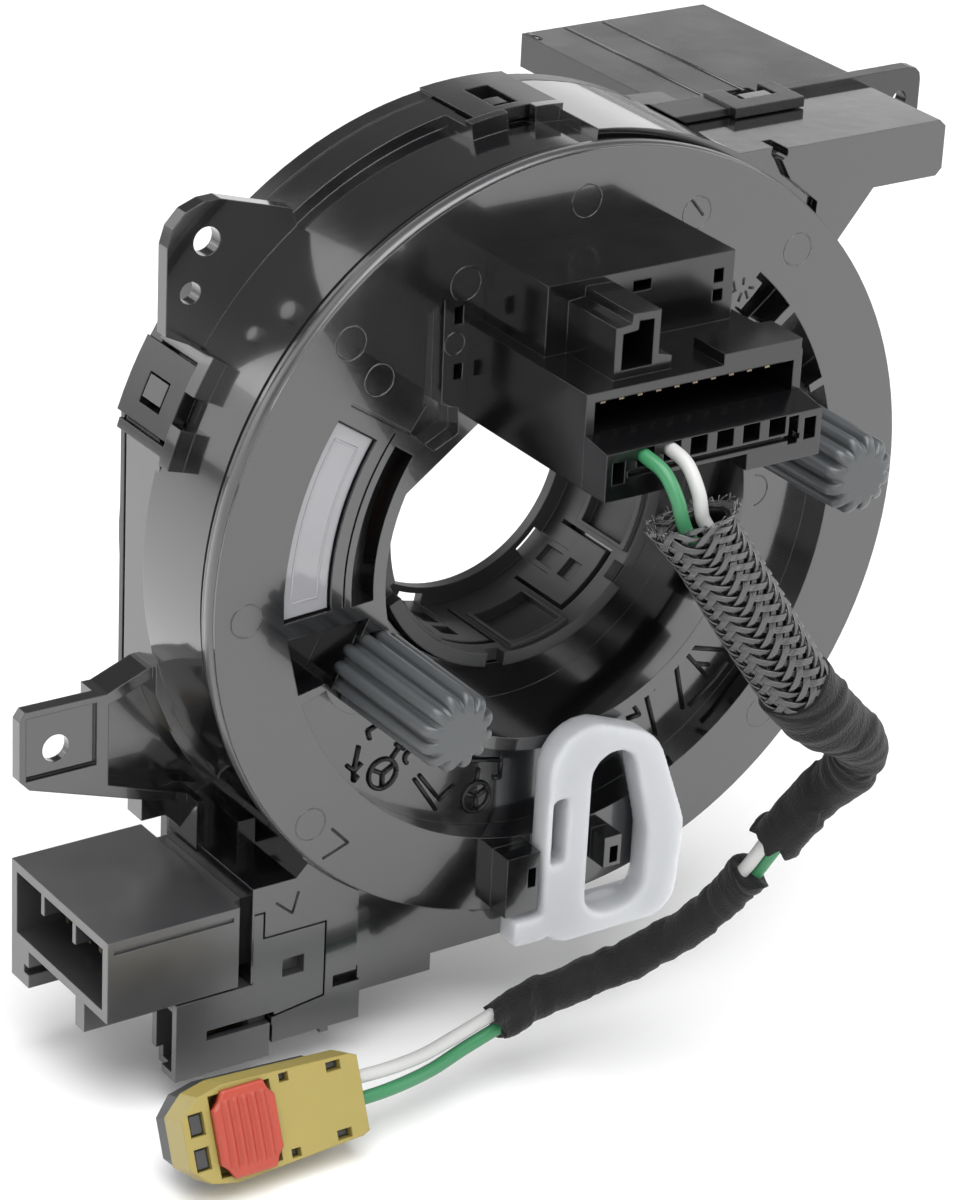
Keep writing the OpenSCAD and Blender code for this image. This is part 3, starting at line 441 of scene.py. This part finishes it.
# %% [markdown]
# ## The airbag plug
#
# The plug's halves come from CAD, and a bevel modifier gives their edges a moulded radius.
# Its lock is a plate with cut corners and fine grip ribs. It is built from one outline: the
# outline goes up the sides, and then shrinks to the middle while its height follows the ribs.

# %% Build the plug's lock and what shows in its windows
PLUG_REAR = LEAD_STATIONS[-1] - [0, TOTAL_DEPTH, 0]
PLUG_ROLL = math.radians(67.7)
PLUG_TOP = 2.6
PLUG_LENGTH = 24.5
LOCK_MIDDLE = 16.4
LOCK_RIBS = 5
LOCK_HALF_WIDTH = 5.35


def plug_points(length, width, height):
    """Points given along the plug, across it and up from its middle, in metres in the CAD
    frame: turned half round, then rolled about the plug's length."""
    c, q = math.cos(PLUG_ROLL), math.sin(PLUG_ROLL)
    length, width, height = np.broadcast_arrays(length, width, height)
    turned = np.stack([-length, -width * c - height * q, -width * q + height * c], -1)
    return (turned + PLUG_REAR) * MM


def along_outline(corners, count):
    """That many points evenly spaced along a closed outline."""
    closed = np.vstack([corners, corners[:1]])
    way = np.concatenate([[0], np.cumsum(np.linalg.norm(np.diff(closed, axis=0), axis=1))])
    at = np.linspace(0, way[-1], count, endpoint=False)
    return np.stack([np.interp(at, way, closed[:, k]) for k in range(2)], -1)


def lock_rings():
    """Rings of the lock: up its stem, out under the plate, up the rim, which is rounded, then
    rings scaled to the middle. Its top is 1.1 mm above the plug in the middle and falls off
    with the square of the width; each rib is a cosine along the length."""
    outline = along_outline(np.array([
        [-4.25, -3.3], [-3.5, -4.1], [-3.0, -LOCK_HALF_WIDTH], [2.6, -LOCK_HALF_WIDTH],
        [3.4, -4.1], [4.25, -3.3], [4.25, 3.3], [3.4, 4.1], [2.6, LOCK_HALF_WIDTH],
        [-3.0, LOCK_HALF_WIDTH], [-3.5, 4.1], [-4.25, 3.3]]), 240)
    sides = [(0.90, 0.4), (0.90, PLUG_TOP + 0.05), (1.0, PLUG_TOP + 0.08), (1.0, PLUG_TOP + 0.6),
             (0.985, PLUG_TOP + 0.76), (0.955, PLUG_TOP + 0.84)]
    rings = [plug_points(LOCK_MIDDLE + outline[:, 0] * k, outline[:, 1] * k, h) for k, h in sides]
    for k in np.linspace(0.94, 0.02, 46):
        x, y = outline[:, 0] * k, outline[:, 1] * k
        ribs = 0.5 - 0.5 * np.cos(2 * np.pi * (x + 3.1) / 6.2 * LOCK_RIBS)
        edge = np.clip((3.3 - np.abs(x)) / 0.3, 0, 1) * np.clip((4.4 - np.abs(y)) / 0.5, 0, 1)
        crown = 0.25 * (1 - (y / LOCK_HALF_WIDTH) ** 2)
        rings.append(plug_points(LOCK_MIDDLE + x, y,
                                 PLUG_TOP + 0.85 + crown + 0.42 * (ribs - 0.5) * edge))
    return np.stack(rings)


def block_of(length, width, height):
    """A closed box in the plug's frame from three ranges, its upper edges drawn in."""
    rings = []
    for h, draw in ((height[0], 0), (height[1] - 0.25, 0), (height[1], 0.22)):
        l0, l1, w0, w1 = length[0] + draw, length[1] - draw, width[0] + draw, width[1] - draw
        rings.append(plug_points(np.array([l0, l1, l1, l0]), np.array([w0, w0, w1, w1]), h))
    return tube_solid(np.stack(rings))


plug_lock = put_solid("plug_lock_plate", *tube_solid(lock_rings()))
nose_latches = [
    block_of((PLUG_LENGTH - 2.8, PLUG_LENGTH - 1.0), (w, w + 2.6), (1.25, PLUG_TOP - 0.35))
    for w in (-3.4, 0.8)]
SIDE_WINDOWS = ((2.4, 2.0, -4.8), (2.4, 2.0, 3.6), (9.6, 1.3, -5.2), (9.6, 1.3, 4.1))
side_latches = [
    block_of((start + 0.05, start + size - 0.05), (width + 0.05, width + 1.1), (1.2, 1.75))
    for start, size, width in SIDE_WINDOWS]
plug_inner = put_solid("plug_inner_latches", *join_solids(nose_latches + side_latches),
                       smooth=False)
for node_name, radius_mm in (("airbag_plug_body", 0.45), ("airbag_plug_base", 0.9)):
    soft = nodes[node_name].modifiers.new("moulded edges", "BEVEL")
    soft.width, soft.segments, soft.limit_method = radius_mm * MM, 3, "ANGLE"
    soft.angle_limit = math.radians(40)
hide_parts("airbag_plug_lock")
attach(plug_lock, "plug_lock")
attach(plug_inner, "rotor")
print("plug lock:", len(plug_lock.data.vertices), "points")

# %% [markdown]
# ## Rounding the transport lock
#
# The white lock is a flat hoop with soft edges all round. Its CAD mesh stays as it is, and two
# modifiers round what is seen of it: the first covers it with small even faces, and the second
# moves each point towards the middle of its neighbours, which wears sharp edges away.

# %% Round the transport lock
lock = nodes["transport_lock"]
even = lock.modifiers.new("even mesh", "REMESH")
even.mode, even.voxel_size, even.use_smooth_shade = "VOXEL", 0.32 * MM, True
ease = lock.modifiers.new("eased edges", "SMOOTH")
ease.factor, ease.iterations = 0.5, 9
print("lock has", len(lock.modifiers), "modifiers")

# %% [markdown]
# ## The lead on the rotor
#
# Each wire takes the place of its CAD wire, which is hidden, and rides the rotor. The CAD sleeve
# and tape are hidden too, and the new sleeve, its lining, its frayed ends and the two tape wraps
# ride the rotor as well.

CAD_LEAD = ("green_wire", "white_wire")
WRAPS = (braid, lining, frays, upper_wrap, lower_wrap)
for (wire_name, (wire, line)), node_name in zip(wires.items(), CAD_LEAD):
    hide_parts(node_name)
    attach(wire, "rotor")
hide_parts("braided_sleeve")
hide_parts("tape_upper")
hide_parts("tape_lower")
for piece in WRAPS:
    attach(piece, "rotor")
print("cords declared:", list(wires))

# %% [markdown]
# ## The drive pins
#
# Each pin is a tapered cylinder with round ribs that close in over its tip. In polar terms
# that is one formula: a core radius plus a rib height times a row of twelve half
# ellipses round it, both shrinking along a quarter ellipse at the tip.

# %% Make the two drive pins
PIN_RIBS = 12
PIN_CORE, PIN_RIB, PIN_RIB_SHARE = 4.0, 1.05, 0.74
PIN_BASE_D, PIN_TIP_D = 0.98, -19.5
PIN_ROUND = 1.7
PIN_CLOSE = 0.30
PIN_PLACES = {"pin_left": (-27.7, -11.4, "drive_pin_left"),
              "pin_right": (29.3, 9.8, "drive_pin_right")}


def pin_rings(x, z):
    """Rings of a pin round (x, z). With s the part of the tip's rounding that is passed, the
    radius is core + rib*bump*(1 - 0.55*s^3), times a taper less 0.30*(1 - sqrt(1 - s^2)).
    Within each rib, bump is the square root of 1 less the square of the way off its middle."""
    shaft = np.linspace(PIN_BASE_D, PIN_TIP_D + PIN_ROUND, 12)
    tip = PIN_TIP_D + PIN_ROUND * (1 - np.sin(np.linspace(0.08, 1, 18) * np.pi / 2))
    depth = np.concatenate([shaft, tip])
    s = np.clip((PIN_TIP_D + PIN_ROUND - depth) / PIN_ROUND, 0, 1)
    taper = np.linspace(1.03, 0.98, len(depth))
    shrink = taper - PIN_CLOSE * (1 - np.sqrt(np.clip(1 - s ** 2, 0, 1)))
    v = np.linspace(0, 2 * np.pi, 432, endpoint=False)
    across = 2 * (((v * PIN_RIBS / (2 * np.pi)) % 1) - 0.5)
    bump = np.sqrt(np.clip(1 - (across / PIN_RIB_SHARE) ** 2, 0, 1))
    fade = 1 - 0.55 * s ** 3
    radius = (PIN_CORE + PIN_RIB * bump[None] * fade[:, None]) * shrink[:, None]
    y = np.broadcast_to(depth[:, None] - TOTAL_DEPTH, radius.shape)
    return np.stack([x + radius * np.cos(v), y, z + radius * np.sin(v)], -1) * MM


for pin_name, (pin_x, pin_z, pin_node) in PIN_PLACES.items():
    pin = put_solid(pin_name, *tube_solid(pin_rings(pin_x, pin_z)))
    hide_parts(pin_node)
    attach(pin, "rotor")
    print(pin_name, "has", len(pin.data.vertices), "points")

# %% [markdown]
# ## Marks that the mould leaves
#
# The rotor's face carries faint circles where ejector pins pushed it out of the mould, a few
# ticks, and in its recess raised pictograms of a wheel, arrows and brackets that tell a
# fitter how to centre it. The window has a thin frame, and the flat socket's top two low
# lines. Each is a path on a face, swept with an ellipse whose lower half is sunk.

# %% Sweep the lines of the marks
FLANGE_D, RECESS_D, CARRIER_D, WINDOW_D = 0.0, 4.0, 2.0, 0.6  # depths behind the front face
WINDOW_R, WINDOW_A = (35.7, 39.3), (149.8, 180.2)
SOCKET_TOP = 44.4


def stroke(path, width, level, height, upward=False, sides=10):
    """A raised line on a face: round each point of the path, width/2 times cos(v) across the
    line and height times sin(v) out of the face, its lower half sunk. The path is x and z on
    a face that looks forward, at a depth, or x and y on one that looks up, at a height."""
    path = np.asarray(path, float)
    across = unit(np.gradient(path, axis=0))[:, ::-1] * [-1, 1]
    v = np.linspace(0, 2 * np.pi, sides, endpoint=False)
    x = path[:, :1] + across[:, :1] * width / 2 * np.cos(v)
    z = path[:, 1:] + across[:, 1:] * width / 2 * np.cos(v)
    out = level + height * np.sin(v) if upward else level - height * np.sin(v) - TOTAL_DEPTH
    out = np.broadcast_to(out, x.shape)
    return tube_solid(np.stack([x, z, out] if upward else [x, out, z], -1) * MM)


def arc(x, z, radius, start=0, end=360, count=40):
    """Points round (x, z) between two angles in degrees."""
    a = np.radians(np.linspace(start, end, count))
    return np.stack([x + radius * np.cos(a), z + radius * np.sin(a)], -1)


def wheel(x, z, stem):
    """The strokes of a small steering wheel: rim, three spokes, and a stem with its end bar."""
    spokes = [[(x, z), (x + 1.9 * math.cos(a), z + 1.9 * math.sin(a))] for a in (0.5, 2.6, 4.71)]
    return [arc(x, z, 2.0), *spokes, stem]


PICTOGRAMS = [
    [(-24.1, -21.3), (-25.6, -21.8)], [(-25.6, -21.8), (-25.3, -23.0)],
    [(-26.8, -23.6), (-27.4, -26.7), (-27.4, -28.3)], [(-27.4, -26.9), (-28.4, -25.9)],
    [(-27.4, -26.9), (-26.3, -26.0)], [(-27.4, -28.3), (-26.7, -27.6)],
    *wheel(-23.2, -28.3, [(-22.0, -26.5), (-20.8, -25.1)]),
    [(-21.4, -24.7), (-20.2, -25.6)], arc(-19.1, -27.0, 0.9, 110, 230, 10),
    [(-18.4, -30.3), (-15.1, -35.3)], [(-14.8, -34.1), (-12.5, -32.6)],
    [(-17.7, -29.9), (-15.1, -33.4)],
    *wheel(-9.1, -35.1, [(-9.2, -33.0), (-8.9, -31.1)]),
    [(-10.3, -29.6), (-5.7, -30.7)], [(-5.6, -29.2), (-5.6, -33.2)], [(-5.6, -33.2), (-6.6, -33.0)],
    [(20.8, -23.0), (22.5, -30.3)], [(23.5, -30.2), (27.6, -27.0), (29.2, -25.2)],
    [(22.1, -21.5), (29.3, -23.6)], [(22.3, -22.3), (25.9, -26.4)],
    [(16.6, -27.2), (18.5, -33.1)], [(18.5, -33.1), (17.0, -33.3)], [(17.6, -26.3), (16.4, -26.0)],
    [(14.6, -28.0), (15.6, -29.5)], [(15.6, -29.5), (13.8, -29.7)],
    [(24.0, -24.3), (26.2, -24.9)], [(12.0, -31.6), (14.4, -31.0)], [(13.1, -33.4), (13.8, -30.9)]]
FLANGE_CIRCLES = [
    (-45.7, -0.8, 2.1), (-32.6, 31.7, 2.1), (-28.5, 26.4, 2.0), (-0.4, 43.8, 2.1), (16, 39.6, 2.1),
    (31.9, 32.2, 2.1), (-17, 36.3, 2.1), (-35.9, -30.2, 2.1), (32.1, -31.4, 2.1), (-18.2, 29, 1.4),
    (46.0, -2.0, 2.1), (3.0, -45.2, 2.1)]
FLANGE_TICKS = [
    [(-32.8, -31.6), (-30.4, -34.1)], [(-30.4, -34.1), (-34.0, -35.4)],
    [(15.1, 41.4), (16.9, 39.2)],
    [(22.3, 29.7), (22.7, 28.4)], [(23.3, 26.9), (23.7, 28.0)], [(24.7, 27.1), (24.3, 28.1)],
    [(23.9, 29.9), (23.9, 29.0)], [(25.5, 28.3), (24.8, 28.5)], [(22.0, 28.3), (22.8, 28.5)]]
RECESS_CIRCLE = (31.3, -1.6, 2.1)
CARRIER_TICKS = [[(-39.1, -41.2), (-36.8, -43.2)], [(-36.8, -43.2), (-36.0, -40.4)]]
SOCKET_LINES = [(33.8, -5.0, 26.0, 0.5), (39.8, -5.0, 26.0, 0.5), (28.0, 23.5, 26.2, 0.9)]


def circle_stroke(x, z, radius, level):
    """The hair-thin line that an ejector pin leaves."""
    return stroke(arc(x, z, radius, count=60), 0.22, level, 0.030)


mark_strokes = [stroke(path, 0.62, RECESS_D, 0.42) for path in PICTOGRAMS]
mark_strokes += [stroke(path, 0.40, FLANGE_D, 0.12) for path in FLANGE_TICKS]
circle_strokes = [circle_stroke(*circle, FLANGE_D) for circle in FLANGE_CIRCLES]
circle_strokes += [circle_stroke(*RECESS_CIRCLE, RECESS_D)]
window_frame = np.concatenate([arc(0, 0, WINDOW_R[1], *WINDOW_A),
                               arc(0, 0, WINDOW_R[0], *WINDOW_A[::-1])])
window_frame = np.vstack([window_frame, window_frame[:1]])
window_line = put_solid("window_line", *stroke(window_frame, 0.35, WINDOW_D, 0.10))
rotor_circles = put_solid("rotor_circles", *join_solids(circle_strokes))
rotor_marks = put_solid("rotor_marks", *join_solids(mark_strokes))
carrier_marks = put_solid("carrier_marks", *join_solids(
    [stroke(path, 0.34, CARRIER_D, 0.14) for path in CARRIER_TICKS]))
socket_ribs = put_solid("flat_socket_ribs", *join_solids([
    stroke([(x, y0), (x, y1)], width, SOCKET_TOP, 0.16, upward=True)
    for x, y0, y1, width in SOCKET_LINES]))
for piece in (rotor_marks, rotor_circles, window_line):
    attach(piece, "rotor")
for piece in (carrier_marks, socket_ribs):
    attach(piece, "stator")
print("strokes:", len(mark_strokes), "points:", len(rotor_marks.data.vertices))

# %% [markdown]
# ## The flange's rim and the gap behind it
#
# The rotor's flange ends in a rounded rim, and a narrow dark gap runs round the drum between
# that rim and the barrel. On the photograph the two read as a light line beside a dark one.
# Both are hoops: the first rides the rotor and rounds its edge, and its lighter grey finish is
# painted highlight on top of the real light that its round edge catches. The second rides the
# housing: a matte near-black band, painted shadow that stands for the shade in the gap.


# %% Lay the two hoops
RIM = {"radius": 49.90, "swell": 0.42, "depths": (0.35, 2.45)}
# The gap hoop is painted shadow: a matte near-black band where the gap lies in shade.
GAP_SHADOW = {"radius": 49.45, "swell": 0.20, "depths": (3.05, 4.15)}


def hoop(radius, swell, depths, around=240, sides=12):
    """A hoop round the drum's axis: at each angle round the axis, the section is the mean
    depth plus half the width times cos(v), and the radius plus the swell times sin(v)."""
    a = np.radians(np.linspace(0, 360, around + 1))[:, None]
    v = np.linspace(0, 2 * np.pi, sides, endpoint=False)
    r = radius + swell * np.sin(v)
    y = sum(depths) / 2 + (depths[1] - depths[0]) / 2 * np.cos(v) - TOTAL_DEPTH
    y = np.broadcast_to(y, (around + 1, sides))
    return tube_solid(np.stack([r * np.cos(a), y, r * np.sin(a)], -1) * MM)


flange_rim = put_solid("flange_rim", *hoop(**RIM))
# painted shadow: the dark band in the gap
rim_gap = put_solid("rim_gap", *hoop(**GAP_SHADOW))
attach(flange_rim, "rotor")
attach(rim_gap, "stator")
print("rim and gap ready")

# %% [markdown]
# ## Finishes
#
# Nearly everything here is moulded plastic, and what makes it look real is not its colour
# but how its gloss varies: a moulded face is a little wavy, has a very fine grain, and its
# corners are rounded enough to catch a thin line of light. One function builds that wiring,
# and every finish is a set of numbers for it.


# %% The wiring that all the plastics share
def wire_up(tree, kind, inputs=None, **settings):
    """A new node with its settings and the values or links of its inputs."""
    node = tree.nodes.new(kind)
    for key, value in settings.items():
        setattr(node, key, value)
    for key, value in (inputs or {}).items():
        if isinstance(value, bpy.types.NodeSocket):
            tree.links.new(value, node.inputs[key])
        else:
            node.inputs[key].default_value = value
    return node


def shader_of(name, **values):
    """A new material, its node tree and its Principled shader with constant values set."""
    material = bpy.data.materials.new(name)
    material.use_nodes = True
    shader = material.node_tree.nodes["Principled BSDF"]
    for key, value in values.items():
        shader.inputs[key.replace("_", " ")].default_value = value
    return material, material.node_tree, shader


def mix_of(tree, factor, low, high):
    """A colour between low and high by a factor."""
    node = wire_up(tree, "ShaderNodeMix", data_type="RGBA")
    tree.links.new(factor, node.inputs[0])
    node.inputs[6].default_value = (*low, 1)
    node.inputs[7].default_value = (*high, 1)
    return node.outputs[2]


GRAIN_SIZE = 0.12  # millimetres


def moulded(name, colour, gloss, spread=0.12, wave=0.03, grain=0.02, corner=0.22, **values):
    """Moulded plastic. Colour and gloss drift over about a centimetre, wave is the depth in
    millimetres of the slow waviness, grain that of the fine one, and corner the radius that
    the shader rounds edges to."""
    material, tree, shader = shader_of(name, **values)
    place = wire_up(tree, "ShaderNodeTexCoord").outputs["Object"]
    slow = wire_up(tree, "ShaderNodeTexNoise", {"Vector": place, "Scale": 110.0, "Detail": 3.0})
    fine = wire_up(tree, "ShaderNodeTexNoise", {
        "Vector": place, "Scale": 1 / (GRAIN_SIZE * MM), "Detail": 2.0})
    low = [c * (1 - spread) for c in colour]
    high = [c * (1 + spread) for c in colour]
    tree.links.new(mix_of(tree, slow.outputs["Fac"], low, high), shader.inputs["Base Color"])
    rough = wire_up(tree, "ShaderNodeMapRange", {
        "Value": slow.outputs["Fac"], "From Min": 0.3, "From Max": 0.7,
        "To Min": gloss[0], "To Max": gloss[1]})
    tree.links.new(rough.outputs["Result"], shader.inputs["Roughness"])
    edge = wire_up(tree, "ShaderNodeBevel", {"Radius": corner * MM}, samples=4)
    swell = wire_up(tree, "ShaderNodeBump", {
        "Height": slow.outputs["Fac"], "Distance": wave * MM, "Strength": 1.0,
        "Normal": edge.outputs["Normal"]})
    bump = wire_up(tree, "ShaderNodeBump", {
        "Height": fine.outputs["Fac"], "Distance": grain * MM, "Strength": 0.5,
        "Normal": swell.outputs["Normal"]})
    tree.links.new(bump.outputs["Normal"], shader.inputs["Normal"])
    return material


NUMBERS = {
    "black_plastic": dict(
        colour=(0.0045, 0.0046, 0.0052), gloss=(0.10, 0.20), grain=0.003, wave=0.05,
        Specular_IOR_Level=1.0, Coat_Weight=0.8, Coat_Roughness=0.04),
    "block_plastic": dict(
        colour=(0.0035, 0.0035, 0.004), gloss=(0.12, 0.22), grain=0.003, wave=0.04,
        Specular_IOR_Level=0.8),
    "cover_plastic": dict(
        colour=(0.0060, 0.0060, 0.0066), gloss=(0.20, 0.30), grain=0.005, wave=0.04,
        Specular_IOR_Level=0.9),
    # painted shadow: a matte near-black finish for the hoop that stands for the shade in the gap
    "gap_shadow_plastic": dict(
        colour=(0.0015, 0.0015, 0.0017), gloss=(0.75, 0.90), grain=0.0, wave=0.0,
        Specular_IOR_Level=0.15),
    # On the sockets this is a satin black; on the flange rim its lighter grey is painted highlight,
    # brighter than the rotor's black plastic.
    "satin_plastic_and_rim_highlight": dict(
        colour=(0.034, 0.034, 0.036), gloss=(0.28, 0.38), grain=0.006, wave=0.03,
        Specular_IOR_Level=1.0, Coat_Weight=0.5, Coat_Roughness=0.25),
    "mark_plastic": dict(
        colour=(0.004, 0.004, 0.0045), gloss=(0.34, 0.44), grain=0.004, Specular_IOR_Level=0.45),
    "dark_plastic": dict(
        colour=(0.022, 0.0225, 0.024), gloss=(0.36, 0.48), grain=0.012, Specular_IOR_Level=0.8),
    "pin_plastic": dict(
        colour=(0.056, 0.061, 0.065), gloss=(0.34, 0.46), grain=0.006, corner=0.1,
        Specular_IOR_Level=0.7),
    "clear_plastic": dict(
        colour=(0.26, 0.26, 0.275), gloss=(0.08, 0.14), grain=0.002, wave=0.12,
        Specular_IOR_Level=0.7, Coat_Weight=0.6, Coat_Roughness=0.05),
    "white_plastic": dict(
        colour=(0.50, 0.51, 0.53), spread=0.02, gloss=(0.30, 0.40), grain=0.004,
        Subsurface_Weight=1.0, Subsurface_Scale=1.0, Subsurface_Radius=(0.006, 0.006, 0.006)),
    "yellow_plastic": dict(
        colour=(0.300, 0.240, 0.064), spread=0.06, gloss=(0.30, 0.42), grain=0.008),
    "orange_plastic": dict(
        colour=(0.36, 0.047, 0.026), spread=0.05, gloss=(0.32, 0.44), grain=0.008),
    "tin": dict(
        colour=(0.30, 0.255, 0.18), gloss=(0.26, 0.40), grain=0.004, corner=0.05, Metallic=1.0),
    "copper_film": dict(
        colour=(0.40, 0.20, 0.09), gloss=(0.20, 0.30), grain=0.004, corner=0.05),
    "green_insulation": dict(
        colour=(0.038, 0.200, 0.085), spread=0.06, gloss=(0.30, 0.40), corner=0.02),
    "white_insulation": dict(
        colour=(0.48, 0.48, 0.475), spread=0.03, gloss=(0.36, 0.46), corner=0.02),
    "braid": dict(
        colour=(0.040, 0.040, 0.042), spread=0.35, gloss=(0.22, 0.36), corner=0.01, grain=0.01,
        Specular_IOR_Level=1.0),
}
FINISHES = {name: moulded(name, **numbers) for name, numbers in NUMBERS.items()}


def cloth():
    """Black woven tape: the cells of a fine pattern make the bumps of its threads, a noise
    breaks them up, and sheen lightens it at grazing angles."""
    material, tree, shader = shader_of("cloth_tape", Roughness=0.88, Sheen_Weight=0.12,
                                       Sheen_Roughness=0.5, Specular_IOR_Level=0.2)
    place = wire_up(tree, "ShaderNodeTexCoord").outputs["Object"]
    turned = wire_up(tree, "ShaderNodeMapping", {"Vector": place, "Rotation": (0.4, 0.7, 0.6)})
    weave = wire_up(tree, "ShaderNodeTexVoronoi", {
        "Vector": turned.outputs["Vector"], "Scale": 3400.0})
    fuzz = wire_up(tree, "ShaderNodeTexNoise", {"Vector": place, "Scale": 2600.0, "Detail": 4.0})
    drift = wire_up(tree, "ShaderNodeTexNoise", {"Vector": place, "Scale": 260.0, "Detail": 3.0})
    shade = mix_of(tree, drift.outputs["Fac"], (0.004, 0.004, 0.0043), (0.018, 0.018, 0.019))
    tree.links.new(shade, shader.inputs["Base Color"])
    first = wire_up(tree, "ShaderNodeBump", {
        "Height": weave.outputs["Distance"], "Distance": 0.10 * MM, "Strength": 0.8})
    second = wire_up(tree, "ShaderNodeBump", {
        "Height": fuzz.outputs["Fac"], "Distance": 0.12 * MM, "Strength": 0.9,
        "Normal": first.outputs["Normal"]})
    tree.links.new(second.outputs["Normal"], shader.inputs["Normal"])
    return material


FINISHES["cloth_tape"] = cloth()
print("finishes:", len(FINISHES))

# %% Give every CAD node and every new piece its finish
slot_of_node = {row["node"]: row["material_slot"] for row in frame["record"]["subparts"]}


def finish_with(obj, finish):
    """The object's only material is that finish."""
    obj.data.materials.clear()
    obj.data.materials.append(FINISHES[finish])


OWN_FINISH = {"rear_cover": "cover_plastic", "connector_block": "block_plastic",
              "comb_plug": "block_plastic", "harness_socket": "satin_plastic_and_rim_highlight",
              "small_socket": "satin_plastic_and_rim_highlight"}
for node_name, node in nodes.items():
    finish_with(node, OWN_FINISH.get(node_name, slot_of_node[node_name]))
finish_with(wires["green_lead"][0], "green_insulation")
finish_with(wires["white_lead"][0], "white_insulation")
for piece in (braid, frays):
    finish_with(piece, "braid")
finish_with(lining, "mark_plastic")
for piece in (upper_wrap, lower_wrap):
    finish_with(piece, "cloth_tape")
for pin_name in PIN_PLACES:
    finish_with(bpy.data.objects[pin_name], "pin_plastic")
for piece in (rotor_marks, carrier_marks):
    finish_with(piece, "mark_plastic")
finish_with(rotor_circles, "black_plastic")
finish_with(socket_ribs, "cover_plastic")
# painted highlight: the rim's lighter grey makes it read lit, beside the real light its rounded
# edge catches
finish_with(flange_rim, "satin_plastic_and_rim_highlight")
# painted shadow: the gap hoop's matte near-black finish
finish_with(rim_gap, "gap_shadow_plastic")
finish_with(window_line, "clear_plastic")
finish_with(plug_lock, "orange_plastic")
finish_with(plug_inner, "dark_plastic")
print("CAD nodes finished:", len(slot_of_node))

# %% [markdown]
# ## Floor and light
#
# Black gloss shows what is round it, so the surround is really the picture: a pale floor that
# the front face mirrors as grey, a sky that is bright near the horizon and dim above it, and
# four soft sources. The large one overhead lights the floor, and three weak ones at the left,
# the right and the front lift the faces that would otherwise be lost. The Standard view
# transform keeps the floor white and the plug's yellow and red as strong as they are.

# %% Make the floor and the lights
FLOOR_SIZE = 12.0
FLOOR_DROP = 0.5 * MM
floor_z = cad_low.z - FLOOR_DROP
corners = np.array([[-1, -1, 0], [1, -1, 0], [1, 1, 0], [-1, 1, 0]]) * FLOOR_SIZE / 2
floor = put_mesh("floor", corners + [0, 0, floor_z], np.array([[0, 1, 2, 3]]), smooth=False)
floor_material, _, _ = shader_of("floor", Base_Color=(0.92, 0.92, 0.92, 1), Roughness=0.9,
                                 Specular_IOR_Level=0.1)
floor.data.materials.append(floor_material)

world = bpy.data.worlds.new("surround")
world.use_nodes = True
world_tree = world.node_tree
toward = wire_up(world_tree, "ShaderNodeTexCoord").outputs["Generated"]
height = wire_up(world_tree, "ShaderNodeSeparateXYZ", {"Vector": toward}).outputs["Z"]
glow = wire_up(world_tree, "ShaderNodeMapRange", {
    "Value": height, "From Min": 0.29, "From Max": 0.38, "To Min": 1.25, "To Max": 0.16},
    interpolation_type="SMOOTHSTEP")
background = world_tree.nodes["Background"]
background.inputs["Color"].default_value = (1, 1, 1, 1)
world_tree.links.new(glow.outputs["Result"], background.inputs["Strength"])
bpy.context.scene.world = world


def soft_light(name, place, aim, size, watts):
    """A square area light at a place, turned to look at a point."""
    data = bpy.data.lights.new(name, "AREA")
    data.shape, data.size, data.energy = "SQUARE", size, watts
    obj = bpy.data.objects.new(name, data)
    bpy.context.scene.collection.objects.link(obj)
    place, aim = Vector(place), Vector(aim)
    obj.rotation_euler = (aim - place).to_track_quat("-Z", "Y").to_euler()
    obj.location = place


# Name, place and aim in metres, size in metres, power in watts.
LIGHTS = (
    ("overhead", (-0.15, -0.30, 1.15), (0, 0, 0), 1.3, 24.0),
    ("left", (-0.70, 0.95, 0.75), (0, 0, 0), 0.9, 3.2),
    ("right", (0.85, -0.45, 0.55), (0, 0, 0), 0.6, 3.0),
    ("front", (-0.55, -0.95, 0.50), (0, -0.05, -0.06), 0.7, 2.5))
for light in LIGHTS:
    soft_light(*light)
bpy.context.scene.view_settings.view_transform = "Standard"
print("floor at", round(floor_z / MM, 1), "mm")
